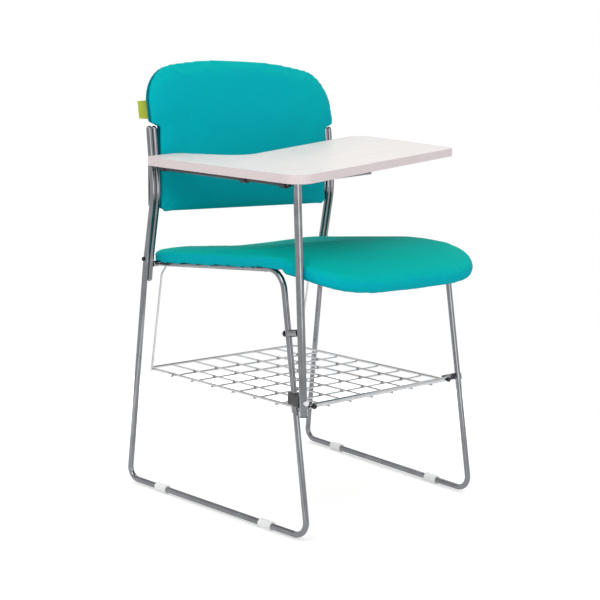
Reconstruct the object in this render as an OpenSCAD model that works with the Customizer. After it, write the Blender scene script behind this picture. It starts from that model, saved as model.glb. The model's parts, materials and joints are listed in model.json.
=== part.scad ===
// Lecture chair on two bent-rod side frames, with a fold-up writing board
// and a wire book basket. The sitter faces -Y, the writing board's post is on
// the sitter's right at -X, and the origin is on the floor.

/* [Frame rods] */
// Diameter of the side frame rods
rod_d = 11; // [9:0.5:12]
// Floor runner length from the front foot to the rear foot
base_depth = 465; // [440:1:500]
// Half of the distance between the runners at the front
front_foot_half = 226; // [224:1:240]
// Half of the distance between the runners at the rear
rear_foot_half = 246.5; // [240:0.5:260]
// Height of the seat rail's front corner
rail_front_z = 465.5; // [455:0.5:475]
// Height of the seat rail's rear end
rail_rear_z = 430; // [420:1:440]
// Half of the distance between the rails at the front corner
rail_front_half = 223; // [218:0.5:223]
// How far the front leg leans back up to the seat rail
front_leg_lean = 94; // [80:1:105]
// Length of the seat rail
rail_run = 341; // [330:1:341]
// Height of the back uprights
upright_top_z = 684; // [660:1:700]
// Height of the foremost point of the back uprights
lumbar_z = 566; // [540:1:580]
// How far the uprights come forward between the seat and the lumbar point
lumbar_reach = 17; // [10:1:25]

/* [Seat] */
// Half of the seat pad's width at the thighs
seat_half = 236; // [235.5:0.5:245]
// Half of the seat pad's width at the rear
seat_rear_half = 224.5; // [220:0.5:225]
// Seat pad length
seat_length = 486; // [470:1:490]
// Thickness of the seat pad at its rim
seat_pad_t = 30; // [28:1:36]
// How much the front of the seat pad rises over its rim
seat_crown = 6; // [2:0.5:12]
// How deep the pad is dished where one sits
seat_dish = 14; // [0:0.5:16]
// How far the front lip drops
lip_drop = 52; // [20:1:60]
// Thickness of the seat board
seat_board_t = 8; // [6:0.5:10]

/* [Backrest] */
// Half of the backrest's width above the rod tops
back_half = 243; // [232:1:246]
// Half of the backrest's width between the rods
back_waist_half = 222; // [210:1:224]
// Height of the backrest's lower edge
back_bottom_z = 530; // [515:1:545]
// Height of the top of the backrest
back_top_z = 815; // [790:1:830]
// Thickness of the backrest board
back_board_t = 8; // [6:0.5:10]
// Thickness of the backrest cushion at its middle height
back_pad_t = 13; // [11:0.5:20]

/* [Writing board] */
// Height of the board's fold axis
fold_z = 614.5; // [600:0.5:640]
// Distance of the fold axis from the chair's middle
fold_x = 238; // [236:0.5:242]
// Thickness of the writing board
board_t = 15; // [12:0.5:20]
// How far the board's free end is set up from level, in degrees
board_rise = 4; // [0:0.5:6]
// Post tube diameter
post_d = 14; // [12.5:0.5:14]
// Post tube wall
post_wall = 1.5; // [1:0.1:2]
// Hinge rod diameter
hinge_d = 10; // [8:0.5:10]

/* [Basket] */
// Height of the basket's lengthwise wires at the front bar
basket_z = 223; // [200:0.5:224]
// Gauge of the basket's inner wires
wire_d = 3.5; // [3:0.1:4]
// Gauge of the basket's rim wire
rim_d = 5; // [4.5:0.1:6]
// Front bar diameter
bar_d = 9; // [8:0.5:10]
// Pitch of the lengthwise wires
long_pitch = 56.8; // [50:0.1:57]
// Pitch of the cross wires
cross_pitch = 57; // [50:0.5:58]
// Number of cross wires
cross_count = 6; // [3:1:6]

/* [Hidden] */
$fn = 48;

// Clearances
seat_gap = 0.3;
weld_gap = 0.1;
bolt_gap = 0.1;
run_gap = 0.05;
cut = 20;
seam_t = 0.04;
seam_l = 1;
dome_step = 0.3;

// Places of the frame
lip_reach = 24;
rear_reach = 478.7;
front_y = -(rear_reach - lip_reach) / 2;
glide_floor = 3;
runner_z = glide_floor + rod_d / 2;
waist_gap = 3.6;
upright_half = back_waist_half + waist_gap + rod_d / 2 + weld_gap + rod_d;
knee_z = 430;
hip_gap = 5.6;
crest_back = 1.4;
rail_rear_inset = 11;
front_corner_r = 25;
rear_corner_r = 22;
knee_r = 40;
lumbar_r = 220;
hip_r = 160;
rail_slope = atan2(rail_front_z - rail_rear_z, rail_run);

// Side frame corners, as seen from the middle: x is the half width
foot_f = [front_foot_half, front_y, runner_z];
foot_r = [rear_foot_half, front_y + base_depth, runner_z];
knee_f = [rail_front_half, front_y + front_leg_lean, rail_front_z];
rail_e = [rail_front_half - rail_rear_inset, knee_f.y + rail_run, rail_rear_z];
hip = [upright_half, knee_f.y + rail_run + hip_gap, knee_z];
lumbar = [upright_half, hip.y - lumbar_reach, lumbar_z];
crest = [upright_half, hip.y + crest_back, upright_top_z];
back_rod_low_z = 401;
back_rod_shift = rod_d + weld_gap;
cross_y = hip.y;
rear_cross_at = (cross_y - knee_f.y) / cos(rail_slope);
front_cross_at = 50;
bolt_z = 440;
bolt_d = 6;
bolt_head_d = 8;
bolt_head_t = 3;

// Post and clamps
post_in = 5;
post_half = seat_half - post_in;
post_low_at = 19;
post_top_at = 60.5;
post_low_z = 223;
post_top_z = 617;
post_low = [-post_half, front_y + post_low_at, post_low_z];
post_top = [-post_half, front_y + post_top_at, post_top_z];
lower_clamp_z = 247;
upper_clamp_z = 357;
upper_clamp_rise = 8;
clamp_h = 20;
clamp_w = 16;
clamp_rim = 4;
clamp_saddle = 4;
clamp_bolt_d = 5;
clamp_head_d = 9;
clamp_head_t = 4;

// Seat pad shape
lip_y = front_y - lip_reach;
drop_start_at = 141;
drop_start = front_y + drop_start_at;
drop_power = 1.75;
widest_at = 60;
widest_y = front_y + widest_at;
seat_back_y = lip_y + seat_length;
skirt_t = 5;
skirt_over = 1;
board_side_gap = 1;
board_rear_gap = 4;
board_low = rod_d / 2 + seat_gap;
board_high = board_low + seat_board_t;
tab_t = 3;
tab_w = 30;
tab_l = 25;
tab_half = 150;
screw_d = 4.5;
screw_head_d = 9;
screw_head_t = 3;

// Small helpers
function unit(v) = v / norm(v);
function mirrored(p, s) = [s * p.x, p.y, p.z];
function between(p, q, z) = p + (q - p) * (z - p.z) / (q.z - p.z);
function leg_at(z) = between(mirrored(foot_f, -1), mirrored(knee_f, -1), z);
function post_at(z) = between(post_low, post_top, z);
function rail_z(y) = rail_front_z - (y - knee_f.y) * tan(rail_slope);
function seat_drop(y) = y < drop_start ?
  lip_drop * pow((drop_start - y) / (drop_start - lip_y), drop_power) : 0;
function seat_z(y) = rail_z(y) - seat_drop(y);

// A straight round bar from p to q
module bar(p, q, d) {
  run = q - p;
  translate(p)
    rotate([0, acos(run.z / norm(run)), atan2(run.y, run.x)])
      cylinder(h = norm(run), d = d);
}

function corner_half(a, b, c) = acos(unit(a - b) * unit(c - b)) / 2;
function corner_trim(a, b, c, r) = r / tan(corner_half(a, b, c));

// The bent piece of a rod at corner b, on the way from a to c
module elbow(a, b, c, r, d) {
  u = unit(a - b);
  w = unit(c - b);
  half = corner_half(a, b, c);
  mid = b + unit(u + w) * r / sin(half);
  start = b + u * corner_trim(a, b, c, r);
  ex = unit(start - mid);
  ey = -u;
  ez = cross(ex, ey);
  multmatrix([[ex.x, ey.x, ez.x, mid.x],
              [ex.y, ey.y, ez.y, mid.y],
              [ex.z, ey.z, ez.z, mid.z]])
    rotate_extrude(angle = 180 - 2 * half)
      translate([r, 0])
        circle(d = d);
}

function trim_at(pts, radii, i) =
  (i == 0 || i == len(pts) - 1) ? 0 : corner_trim(pts[i - 1], pts[i], pts[i + 1], radii[i]);

// A rod bent along points, with one bend radius per point. A thin collar
// closes each seam between a straight piece and a bend.
module bent_rod(pts, radii, d) {
  for (i = [0 : len(pts) - 2]) {
    along = unit(pts[i + 1] - pts[i]);
    start = pts[i] + along * trim_at(pts, radii, i);
    end = pts[i + 1] - along * trim_at(pts, radii, i + 1);
    bar(start, end, d);
    if (i > 0)
      bar(start - along * seam_l / 2, start + along * seam_l / 2, d + 2 * seam_t);
    if (i < len(pts) - 2)
      bar(end - along * seam_l / 2, end + along * seam_l / 2, d + 2 * seam_t);
  }
  for (i = [1 : len(pts) - 2])
    elbow(pts[i - 1], pts[i], pts[i + 1], radii[i], d);
}

// Side frames
module side_frame(s) {
  pts = [for (p = [crest, lumbar, hip, foot_r, foot_f, knee_f, rail_e]) mirrored(p, s)];
  difference() {
    union() {
      bent_rod(pts, [0, lumbar_r, hip_r, rear_corner_r, front_corner_r, knee_r, 0], rod_d);
      translate(mirrored(crest, s))
        sphere(d = rod_d - 2 * dome_step);
    }
    rod_bolt_bore(s);
    if (s < 0)
      upper_bolt_bore();
  }
}

module right_side_frame() { color("silver") side_frame(-1); }
module left_side_frame() { color("silver") side_frame(1); }

function rear_line_y(z) = between(foot_r, hip, z).y;

module back_rod(s) {
  shift = [-s * back_rod_shift, 0, 0];
  low = [upright_half, rear_line_y(back_rod_low_z), back_rod_low_z];
  pts = [for (p = [crest, lumbar, hip, low]) mirrored(p, s) + shift];
  difference() {
    union() {
      bent_rod(pts, [0, lumbar_r, hip_r, 0], rod_d);
      for (p = [pts[0], pts[3]])
        translate(p)
          sphere(d = rod_d - 2 * dome_step);
    }
    rod_bolt_bore(s);
  }
}

module right_back_rod() { color("gainsboro") back_rod(-1); }
module left_back_rod() { color("gainsboro") back_rod(1); }

// Bolt through the upright and the back rod at seat height
bolt_y = hip.y - (bolt_z - knee_z) * lumbar_reach / (lumbar_z - knee_z);
bolt_outer = upright_half + rod_d / 2;
bolt_inner = upright_half - back_rod_shift - rod_d / 2;

module rod_bolt_bore(s) {
  bar([s * (bolt_outer + cut), bolt_y, bolt_z], [s * (bolt_inner - cut), bolt_y, bolt_z],
      bolt_d + 2 * bolt_gap);
}

module rod_bolts() {
  color("black")
    for (s = [-1, 1]) {
      bar([s * bolt_inner, bolt_y, bolt_z], [s * bolt_outer, bolt_y, bolt_z], bolt_d);
      bar([s * bolt_outer, bolt_y, bolt_z],
          [s * (bolt_outer + bolt_head_t), bolt_y, bolt_z], bolt_head_d);
    }
}

// The seat's own frame: +Y runs back along the rails, +Z stands square to them
module on_rails() {
  translate([0, knee_f.y, rail_front_z])
    rotate([-rail_slope, 0, 0])
      children();
}

module front_cross_rod() {
  half = rail_front_half - rail_rear_inset * front_cross_at / rail_run - rod_d / 2 - weld_gap;
  color("silver")
    on_rails()
      bar([-half, front_cross_at, 0], [half, front_cross_at, 0], rod_d);
}

module rear_cross_rod() {
  half = bolt_inner - weld_gap;
  color("silver")
    on_rails()
      bar([-half, rear_cross_at, 0], [half, rear_cross_at, 0], rod_d);
}

tab_top = rod_d / 2;
tab_start = sqrt(pow(rod_d / 2, 2) - pow(tab_top - tab_t, 2)) + weld_gap;
function tab_y(rear) = rear ? rear_cross_at - tab_start - tab_l / 2 :
  front_cross_at + tab_start + tab_l / 2;

module seat_tabs() {
  color("dimgray")
    on_rails()
      for (s = [-1, 1], rear = [false, true])
        translate([s * tab_half, tab_y(rear), tab_top - tab_t])
          difference() {
            translate([-tab_w / 2, -tab_l / 2, 0])
              cube([tab_w, tab_l, tab_t]);
            translate([0, 0, -cut / 2])
              cylinder(h = cut, d = screw_d + 2 * bolt_gap);
          }
}

screw_tip_gap = 1;
seat_screw_l = tab_t + seat_gap + seat_board_t - screw_tip_gap;

module screw(d, length, head_d, head_t) {
  translate([0, 0, -head_t])
    cylinder(h = head_t, d = head_d);
  cylinder(h = length, d = d);
}

module seat_screws() {
  color("gray")
    on_rails()
      for (s = [-1, 1], rear = [false, true])
        translate([s * tab_half, tab_y(rear), tab_top - tab_t])
          screw(screw_d, seat_screw_l, screw_head_d, screw_head_t);
}

// Seat board, flat, with round corners, inside the pad's rim
seat_board_front = -5;
seat_board_back = seat_back_y - knee_f.y - skirt_t - board_rear_gap;
seat_board_r = 18;

function pad_half(y) = seat_rear_half
  + (seat_half - seat_rear_half) * max(0, min(1, (cross_y - y) / (cross_y - widest_y)));

arc_steps = 8;
function arc(mid, r, from, to, n = arc_steps) =
  [for (i = [0 : n]) let (a = from + (to - from) * i / n) mid + r * [cos(a), sin(a)]];

// A plan inside the pad's rim, seen along the rails, with round corners. It
// narrows to the rear as the pad does.
function rim_plan(inset, front, back, r) =
  let (wide = pad_half(knee_f.y + front) - inset, narrow = pad_half(knee_f.y + back) - inset)
  concat(
    arc([narrow - r, back - r], r, 0, 90),
    arc([-narrow + r, back - r], r, 90, 180),
    arc([-wide + r, front + r], r, 180, 270),
    arc([wide - r, front + r], r, 270, 360));

module seat_board() {
  color("#2b2b2b")
    on_rails()
      difference() {
        translate([0, 0, board_low])
          linear_extrude(seat_board_t)
            polygon(rim_plan(skirt_t + board_side_gap, seat_board_front, seat_board_back, seat_board_r));
        for (s = [-1, 1], rear = [false, true])
          translate([s * tab_half, tab_y(rear), 0])
            cylinder(h = tab_top - tab_t + seat_screw_l + bolt_gap, d = screw_d + 2 * bolt_gap);
      }
}

// Closed pad through rings of points, from a bottom point to a top point.
// Every ring has the same count of points, counted anticlockwise from above.
module ring_pad(low, rings, high) {
  n = len(rings[0]);
  last = len(rings) - 1;
  points = concat([low], [for (ring = rings) each ring], [high]);
  faces = concat(
    [for (i = [0 : n - 1]) [0, 1 + i, 1 + (i + 1) % n]],
    [for (k = [0 : last - 1], i = [0 : n - 1])
      let (a = 1 + k * n + i, b = 1 + k * n + (i + 1) % n) each [[a, a + n, b], [b, a + n, b + n]]],
    [for (i = [0 : n - 1]) [len(points) - 1, 1 + last * n + (i + 1) % n, 1 + last * n + i]]);
  polyhedron(points, faces);
}

pad_points = 56;
// Squareness of the pad's front and rear corners
front_power = 4.4;
rear_power = 13;

function signed_pow(v, e) = sign(v) * pow(abs(v), e);

function seat_outline(inset) =
  let (half_l = seat_length / 2, mid_y = lip_y + half_l)
  [for (i = [0 : pad_points - 1])
    let (a = 360 * i / pad_points, e = 2 / (sin(a) < 0 ? front_power : rear_power))
    let (y = mid_y + (half_l - inset) * signed_pow(sin(a), e))
    [(pad_half(y) - inset) * signed_pow(cos(a), e), y]];

// Rim and crown of the seat pad: inset from the outline, and height over the rails
seat_low = -skirt_over;
seat_high = seat_low + seat_pad_t;
rim_inset_shares = [0.593, 0.381, 0.19, 0.0254, 0.0064, 0, 0.0021, 0.0127, 0.034, 0.0763,
  0.19, 0.36, 0.572, 0.805];
rim_height_shares = [0, 0, 0, 0, 0.133, 0.433, 0.667, 0.817, 0.95, 1, 1, 1, 1, 1];
rim_crown_shares = [0, 0, 0, 0, 0, 0, 0, 0, 0, 0, 0.55, 0.85, 1, 1];
seat_profile = [for (k = [0 : len(rim_inset_shares) - 1])
  [seat_half * rim_inset_shares[k],
   seat_low + seat_pad_t * rim_height_shares[k] + seat_crown * rim_crown_shares[k]]];

// The dish begins behind the thighs, is deepest under the sitter and is half
// as deep at the rear edge
dish_start_at = 150;
dish_mid_at = 330;
dish_start = front_y + dish_start_at;
dish_mid = front_y + dish_mid_at;
dish_rim = 10;
dish_rear_share = 0.5;

function dish_along(y) =
  y < dish_start ? 0 :
  y < dish_mid ? pow(sin(90 * (y - dish_start) / (dish_mid - dish_start)), 2) :
  1 - (1 - dish_rear_share) * pow(sin(90 * (y - dish_mid) / (seat_back_y - dish_mid)), 2);
function dish_across(x, y) = max(0, 1 - pow(x / (pad_half(y) - dish_rim), 2));
function seat_dip(x, y, h) =
  seat_dish * dish_along(y) * dish_across(x, y) * max(0, min(1, (h - seat_low) / seat_pad_t));

function seat_ring(inset, h) =
  [for (p = seat_outline(inset)) [p.x, p.y, seat_z(p.y) + h - seat_dip(p.x, p.y, h)]];

// Cut under the pad that leaves its rim hanging over the board and the rails
module seat_hollow() {
  on_rails() {
    translate([0, 0, -cut])
      linear_extrude(cut + board_high + seat_gap)
        polygon(rim_plan(skirt_t, seat_board_front - board_side_gap,
                         seat_board_back + board_side_gap, skirt_t));
    bar([-seat_half - cut, rear_cross_at, 0], [seat_half + cut, rear_cross_at, 0],
        rod_d + 2 * seat_gap);
  }
}

module seat_cushion() {
  mid_y = lip_y + seat_length / 2;
  mid_top = seat_high + seat_crown;
  rings = [for (p = seat_profile) seat_ring(p[0], p[1])];
  color("#00a5aa")
    difference() {
      ring_pad([0, mid_y, seat_z(mid_y) + seat_low], rings,
               [0, mid_y, seat_z(mid_y) + mid_top - seat_dip(0, mid_y, mid_top)]);
      seat_hollow();
    }
}

// Backrest
strap_t = 3;
strap_w = 40;
strap_top = [0, crest.y + rod_d / 2 + weld_gap + strap_t / 2, upright_top_z];
strap_drop = 144;
strap_low_z = upright_top_z - strap_drop;
strap_fall = 8;
strap_edge_in = 4;
strap_outer = upright_half - strap_edge_in;
strap_screw_down = 13;
strap_screw_span = 118;
strap_screw_z = [upright_top_z - strap_screw_down,
  upright_top_z - strap_screw_down - strap_screw_span];
strap_screw_in = 30.2;
strap_screw_half = strap_outer - strap_screw_in;
back_power = 8;

function strap_y(z) = strap_top.y - strap_fall * (upright_top_z - z) / (upright_top_z - strap_low_z);
// Rear face of the backrest at height z: it follows the straps and leans back above them
back_lean = 0.22;
lean_run = 30;
back_face_gap = strap_t / 2 + seat_gap;
function lean_at(up) = up < 0 ? 0 : up < lean_run ? back_lean * up * up / (2 * lean_run) :
  back_lean * (up - lean_run / 2);
function back_y(z) = strap_y(z) - back_face_gap + lean_at(z - upright_top_z);

shoulder_gap = 2;
shoulder_z = upright_top_z + rod_d / 2 + shoulder_gap;
back_corner_r = 80;
back_arch = 11;
waist_r = 12;
shoulder_r = 6;
waist_steps = 5;
shoulder_steps = 2;
shoulder_turn = 60;
top_steps = 9;
top_turn = 78;
arch_shares = [0.6, 0.3, 0, -0.3, -0.6];
arch_fall_share = 0.55;

// Outline of the backrest seen from the front, anticlockwise, drawn in by inset
function back_outline(inset) =
  let (top = back_top_z - back_arch - inset, wide = back_half - inset,
       waist = back_waist_half - inset, low = back_bottom_z + inset,
       r = back_corner_r - inset, sh = shoulder_z + inset)
  concat(
    arc([waist - waist_r, low + waist_r], waist_r, -90, 0, waist_steps),
    [[waist, sh - shoulder_r]],
    [[wide - shoulder_r, sh]],
    arc([wide - shoulder_r, sh + shoulder_r], shoulder_r, -shoulder_turn, 0, shoulder_steps),
    arc([wide - r, top - r], r, 0, top_turn, top_steps),
    [for (u = arch_shares) [u * (wide - r), top + back_arch * (1 - u * u * arch_fall_share)]],
    arc([-wide + r, top - r], r, 180 - top_turn, 180, top_steps),
    arc([-wide + shoulder_r, sh + shoulder_r], shoulder_r, 180, 180 + shoulder_turn,
        shoulder_steps),
    [[-wide + shoulder_r, sh]],
    [[-waist, sh - shoulder_r]],
    arc([-waist + waist_r, low + waist_r], waist_r, 180, 270, waist_steps));

// Ring of the backrest: depth is how far it lies in front of the rear face
function back_ring(inset, depth, lumbar_swell = 0) =
  [for (p = back_outline(inset)) [p.x, back_y(p.y) - depth - lumbar_swell * swell(p.y), p.y]];
function swell(z) = z > upright_top_z ? 0 :
  pow(sin(180 * (z - back_bottom_z) / (upright_top_z - back_bottom_z)), 2);
back_swell = 4;

// Everything between two depths in front of the backrest's rear face, from
// edge to edge. All layers share these heights, so their faces run parallel.
lean_zs = [back_bottom_z - cut, upright_top_z, upright_top_z + lean_run / 3,
  upright_top_z + lean_run * 2 / 3, upright_top_z + lean_run, back_top_z + cut];

module back_layer(near, far) {
  reversed = [for (i = [1 : len(lean_zs)]) lean_zs[len(lean_zs) - i]];
  rotate([90, 0, 90])
    linear_extrude(2 * back_half + 2 * cut, center = true)
      polygon(concat([for (z = lean_zs) [back_y(z) - near, z]],
                     [for (z = reversed) [back_y(z) - far, z]]));
}

module back_slab(inset, near, far) {
  intersection() {
    back_layer(near, far);
    rotate([90, 0, 0])
      linear_extrude(4 * back_half, center = true)
        polygon(back_outline(inset));
  }
}

module back_screw_bores() {
  for (s = [-1, 1], z = strap_screw_z)
    bar([s * strap_screw_half, back_y(z) + cut, z],
        [s * strap_screw_half, back_y(z) - back_cover_t - back_board_t * bore_share, z],
        screw_d + 2 * bolt_gap);
}

back_cover_t = 2;
bore_share = 0.8;
bite_share = 0.75;
back_cover_inset = 3;
back_board_inset = 8;

module back_board() {
  color("tan")
    difference() {
      back_slab(back_board_inset, back_cover_t + seat_gap, back_cover_t + seat_gap + back_board_t);
      back_screw_bores();
    }
}

module back_cover() {
  color("#00868b")
    difference() {
      back_slab(back_cover_inset, 0, back_cover_t);
      back_screw_bores();
    }
}

back_pad_base = back_cover_t + back_board_t + 2 * seat_gap;
back_inset_shares = [0.288, 0.0165, 0.0165, 0.0021, 0, 0.0062, 0.0247, 0.0658, 0.165, 0.3086];
back_depth_shares = [0, 0, 0, 0.115, 0.269, 0.461, 0.65, 0.85, 1, 1.06];
back_swell_shares = [0, 0, 0, 0, 0.1, 0.4, 0.8, 1, 1, 1];
// Rings inside the last one, drawn towards the middle of the pad
inner_shares = [0.75, 0.5, 0.25];
back_depths = [for (k = [0 : len(back_depth_shares) - 1])
  k < 2 ? -cut : back_pad_t * back_depth_shares[k]];
back_last = len(back_depths) - 1;

module back_cushion() {
  mid_z = (back_bottom_z + upright_top_z) / 2;
  mid = [0, back_y(mid_z), mid_z];
  rims = [for (k = [0 : back_last])
    back_ring(back_half * back_inset_shares[k], back_pad_base + back_depths[k],
              back_swell * back_swell_shares[k])];
  inner = [for (share = inner_shares) [for (p = rims[back_last])
    let (z = mid_z + (p.z - mid_z) * share)
    [p.x * share, back_y(z) - back_pad_base - back_depths[back_last] - back_swell * swell(z), z]]];
  color("#00a5aa")
    difference() {
      ring_pad(mid - [0, back_pad_base - cut, 0], concat(rims, inner),
               mid - [0, back_pad_base + back_depths[back_last] + back_swell * swell(mid.z), 0]);
      back_layer(back_pad_base, -2 * cut);
    }
}

// Straps between the uprights and the backrest
module back_strap(s) {
  span = [0, strap_y(strap_low_z) - strap_top.y, strap_low_z - upright_top_z];
  color("#3a3a3a")
    difference() {
      translate([s * (strap_outer - strap_w / 2), strap_top.y, strap_top.z])
        rotate([-atan2(span.y, span.z) + 180, 0, 0])
          translate([-strap_w / 2, -strap_t / 2, -norm(span)])
            cube([strap_w, strap_t, norm(span)]);
      back_screw_bores();
    }
}

module right_back_strap() { back_strap(-1); }
module left_back_strap() { back_strap(1); }

module strap_screws() {
  color("silver")
    for (s = [-1, 1], z = strap_screw_z) {
      outer = strap_y(z) + strap_t / 2 + seat_gap;
      bar([s * strap_screw_half, outer, z],
          [s * strap_screw_half, back_y(z) - back_cover_t - back_board_t * bite_share, z], screw_d);
      bar([s * strap_screw_half, outer, z],
          [s * strap_screw_half, outer + screw_head_t, z], screw_head_d);
    }
}

// Small cloth tag in the backrest's side seam, on the sitter's right
tag_z = 718;
tag_h = 34;
tag_reach = 20;
tag_t = 1.2;

module side_tag() {
  root = back_half - back_cover_inset + seat_gap;
  color("#bcd02f")
    intersection() {
      back_layer((back_cover_t - tag_t) / 2, (back_cover_t + tag_t) / 2);
      translate([-root - tag_reach, 0, tag_z - tag_h / 2])
        cube([tag_reach, 2 * back_half, tag_h]);
    }
}

// Glides on the runners
glide_l = 28;
glide_wrap = 3;
glide_sole = 1;
front_glide_at = 98;
rear_glide_in = 94;
rear_glide_at = base_depth - rear_glide_in;

function runner_at(run) = foot_f + (foot_r - foot_f) * run / base_depth;

module glide(s, run) {
  along = unit(foot_r - foot_f);
  mid = runner_at(run);
  a = mirrored(mid - along * glide_l / 2, s);
  b = mirrored(mid + along * glide_l / 2, s);
  extra = mirrored(along, s) * cut;
  color("#eef3f4")
    difference() {
      union() {
        bar(a, b, rod_d + 2 * glide_wrap);
        translate(mirrored(mid, s) - [0, 0, runner_z])
          rotate([0, 0, s * -atan2(along.x, along.y)])
            translate([-rod_d / 2 - glide_sole, -glide_l / 2, 0])
              cube([rod_d + 2 * glide_sole, glide_l, runner_z]);
      }
      bar(a - extra, b + extra, rod_d + 2 * run_gap);
    }
}

module front_right_glide() { glide(-1, front_glide_at); }
module rear_right_glide() { glide(-1, rear_glide_at); }
module front_left_glide() { glide(1, front_glide_at); }
module rear_left_glide() { glide(1, rear_glide_at); }

// Basket
cell_count = 7;
rim_half = long_pitch * cell_count / 2;
basket_rise = 0.014;
bar_y = leg_at(basket_z).y;
rim_over = 32.4;
rim_back_y = cross_y + rim_over;
rim_corner_r = 10;
front_cell = 75;
wire_over = 2;
first_cross_y = bar_y + front_cell;
rim_lift = (rim_d - wire_d) / 2 + weld_gap;
function basket_at(y) = basket_z - basket_rise * (y - bar_y);

module basket_rim_wire() {
  front = bar_y + bar_d / 2 + seat_gap + clip_wall + weld_gap;
  pts = [
    [-rim_half, front, basket_at(front) + rim_lift],
    [-rim_half, rim_back_y, basket_at(rim_back_y) + rim_lift],
    [rim_half, rim_back_y, basket_at(rim_back_y) + rim_lift],
    [rim_half, front, basket_at(front) + rim_lift]];
  color("silver")
    bent_rod(pts, [0, rim_corner_r, rim_corner_r, 0], rim_d);
}

module basket_long_wires() {
  back = rim_back_y - rim_d / 2 - seat_gap;
  color("silver")
    for (j = [1 : cell_count - 1])
      let (x = (cell_count / 2 - j) * long_pitch, front = bar_y - wire_over)
        bar([x, front, basket_at(front)], [x, back, basket_at(back)], wire_d);
}

module basket_cross_wires() {
  half = rim_half + rim_d / 2;
  color("silver")
    for (i = [0 : cross_count - 1])
      let (y = first_cross_y + i * cross_pitch, z = basket_at(y) - wire_d - weld_gap)
        bar([-half, y, z], [half, y, z], wire_d);
}

bar_end_in = 32;
bar_bolt_in = 8;
front_bar_half = front_foot_half - bar_end_in;
front_bar_z = basket_z + (wire_d + bar_d) / 2 + weld_gap;
clip_bolt_half = front_bar_half - bar_bolt_in;

module basket_front_bar() {
  color("silver")
    difference() {
      bar([-front_bar_half, bar_y, front_bar_z], [front_bar_half, bar_y, front_bar_z], bar_d);
      for (s = [-1, 1])
        translate([s * clip_bolt_half, bar_y, front_bar_z])
          rotate([90, 0, 0])
            cylinder(h = 2 * cut, d = clamp_bolt_d + 2 * bolt_gap, center = true);
    }
}

// Clip round the front leg, with a tongue behind the bar's end
clip_wall = 2;
clip_h = 12;

module bar_clip(s) {
  leg = mirrored(leg_at(front_bar_z), -s);
  along = unit(mirrored(knee_f - foot_f, s));
  tongue_y = bar_y + bar_d / 2 + seat_gap;
  reach = leg.x * s - rod_d / 2 - clip_bolt_half + clamp_bolt_d;
  color("silver")
    difference() {
      union() {
        bar(leg - along * clip_h / 2, leg + along * clip_h / 2, rod_d + 2 * clip_wall);
        translate([s * (leg.x * s - reach / 2 - rod_d / 2), tongue_y + clip_wall / 2, front_bar_z])
          cube([reach, clip_wall, clip_h], center = true);
      }
      bar(leg - along * cut, leg + along * cut, rod_d + 2 * run_gap);
      clip_bolt_bore(s);
    }
}

module clip_bolt_bore(s) {
  translate([s * clip_bolt_half, bar_y, front_bar_z])
    rotate([90, 0, 0])
      cylinder(h = 2 * cut, d = clamp_bolt_d + 2 * bolt_gap, center = true);
}

module right_bar_clip() { bar_clip(-1); }
module left_bar_clip() { bar_clip(1); }

knob_d = 9;
knob_t = 4;
bolt_tip = 1;

module bar_clip_bolts() {
  back = bar_y + bar_d / 2 + seat_gap + clip_wall;
  head = bar_y - bar_d / 2 - weld_gap;
  color("black")
    for (s = [-1, 1]) {
      bar([s * clip_bolt_half, head, front_bar_z], [s * clip_bolt_half, back + bolt_tip, front_bar_z],
          clamp_bolt_d);
      bar([s * clip_bolt_half, head, front_bar_z],
          [s * clip_bolt_half, head - knob_t, front_bar_z], knob_d);
    }
}

// Hangers from the basket's rear corners up to the insides of the seat rails
hanger_d = 4;
hanger_side = rim_half + (rim_d + hanger_d) / 2 + weld_gap;
hanger_r = 14;
hanger_hook_r = 10;
hanger_below = 20;
hanger_back = 2.5;
hanger_end = 42;
hanger_hook = 18;

function rail_at(y) = knee_f + (rail_e - knee_f) * (y - knee_f.y) / (rail_e.y - knee_f.y);
function beside_rail(y) = rail_at(y) - [(rod_d + hanger_d) / 2 + weld_gap, 0, 0];

module basket_hangers() {
  low_y = rim_back_y - rim_corner_r - hanger_d / 2;
  hook = beside_rail(cross_y - hanger_back);
  low = [hanger_side, low_y, basket_at(low_y) + rim_lift - hanger_d / 2];
  pts = [low, [hook.x, hook.y, hook.z - hanger_below], beside_rail(cross_y - hanger_hook - hanger_back),
         beside_rail(cross_y - hanger_end)];
  color("silver")
    for (s = [-1, 1])
      bent_rod([for (p = pts) mirrored(p, s)], [0, hanger_r, hanger_hook_r, 0], hanger_d);
}

// Writing board post
module on_fold() {
  translate([-fold_x, 0, fold_z])
    rotate([0, -board_rise, 0])
      children();
}

plate_low = 2.5;
plate_t = 3;
under_gap = 2.5;
board_under = plate_low + plate_t + under_gap;

module board_post() {
  along = unit(post_top - post_low);
  color("silver")
    difference() {
      bar(post_low, post_top + along * cut, post_d);
      bar(post_low - along * cut, post_top + 2 * along * cut, post_d - 2 * post_wall);
      on_fold()
        translate([0, 0, plate_low - weld_gap + 2 * cut])
          cube([8 * cut, 80 * cut, 4 * cut], center = true);
      upper_bolt_bore();
      lower_bolt_bore();
    }
}

plug_depth = 12;
plug_lip = 2;

module post_plug() {
  along = unit(post_top - post_low);
  color("#222222") {
    bar(post_low - along * plug_lip / 2, post_low + along * plug_depth,
        post_d - 2 * post_wall - 2 * run_gap);
    bar(post_low - along * plug_lip, post_low, post_d);
  }
}

// Lower clamp: a block bored for the leg, with a shallow seat for the post
function clamp_turn(z) = let (d = post_at(z) - leg_at(z)) atan2(d.y, d.x);

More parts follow.
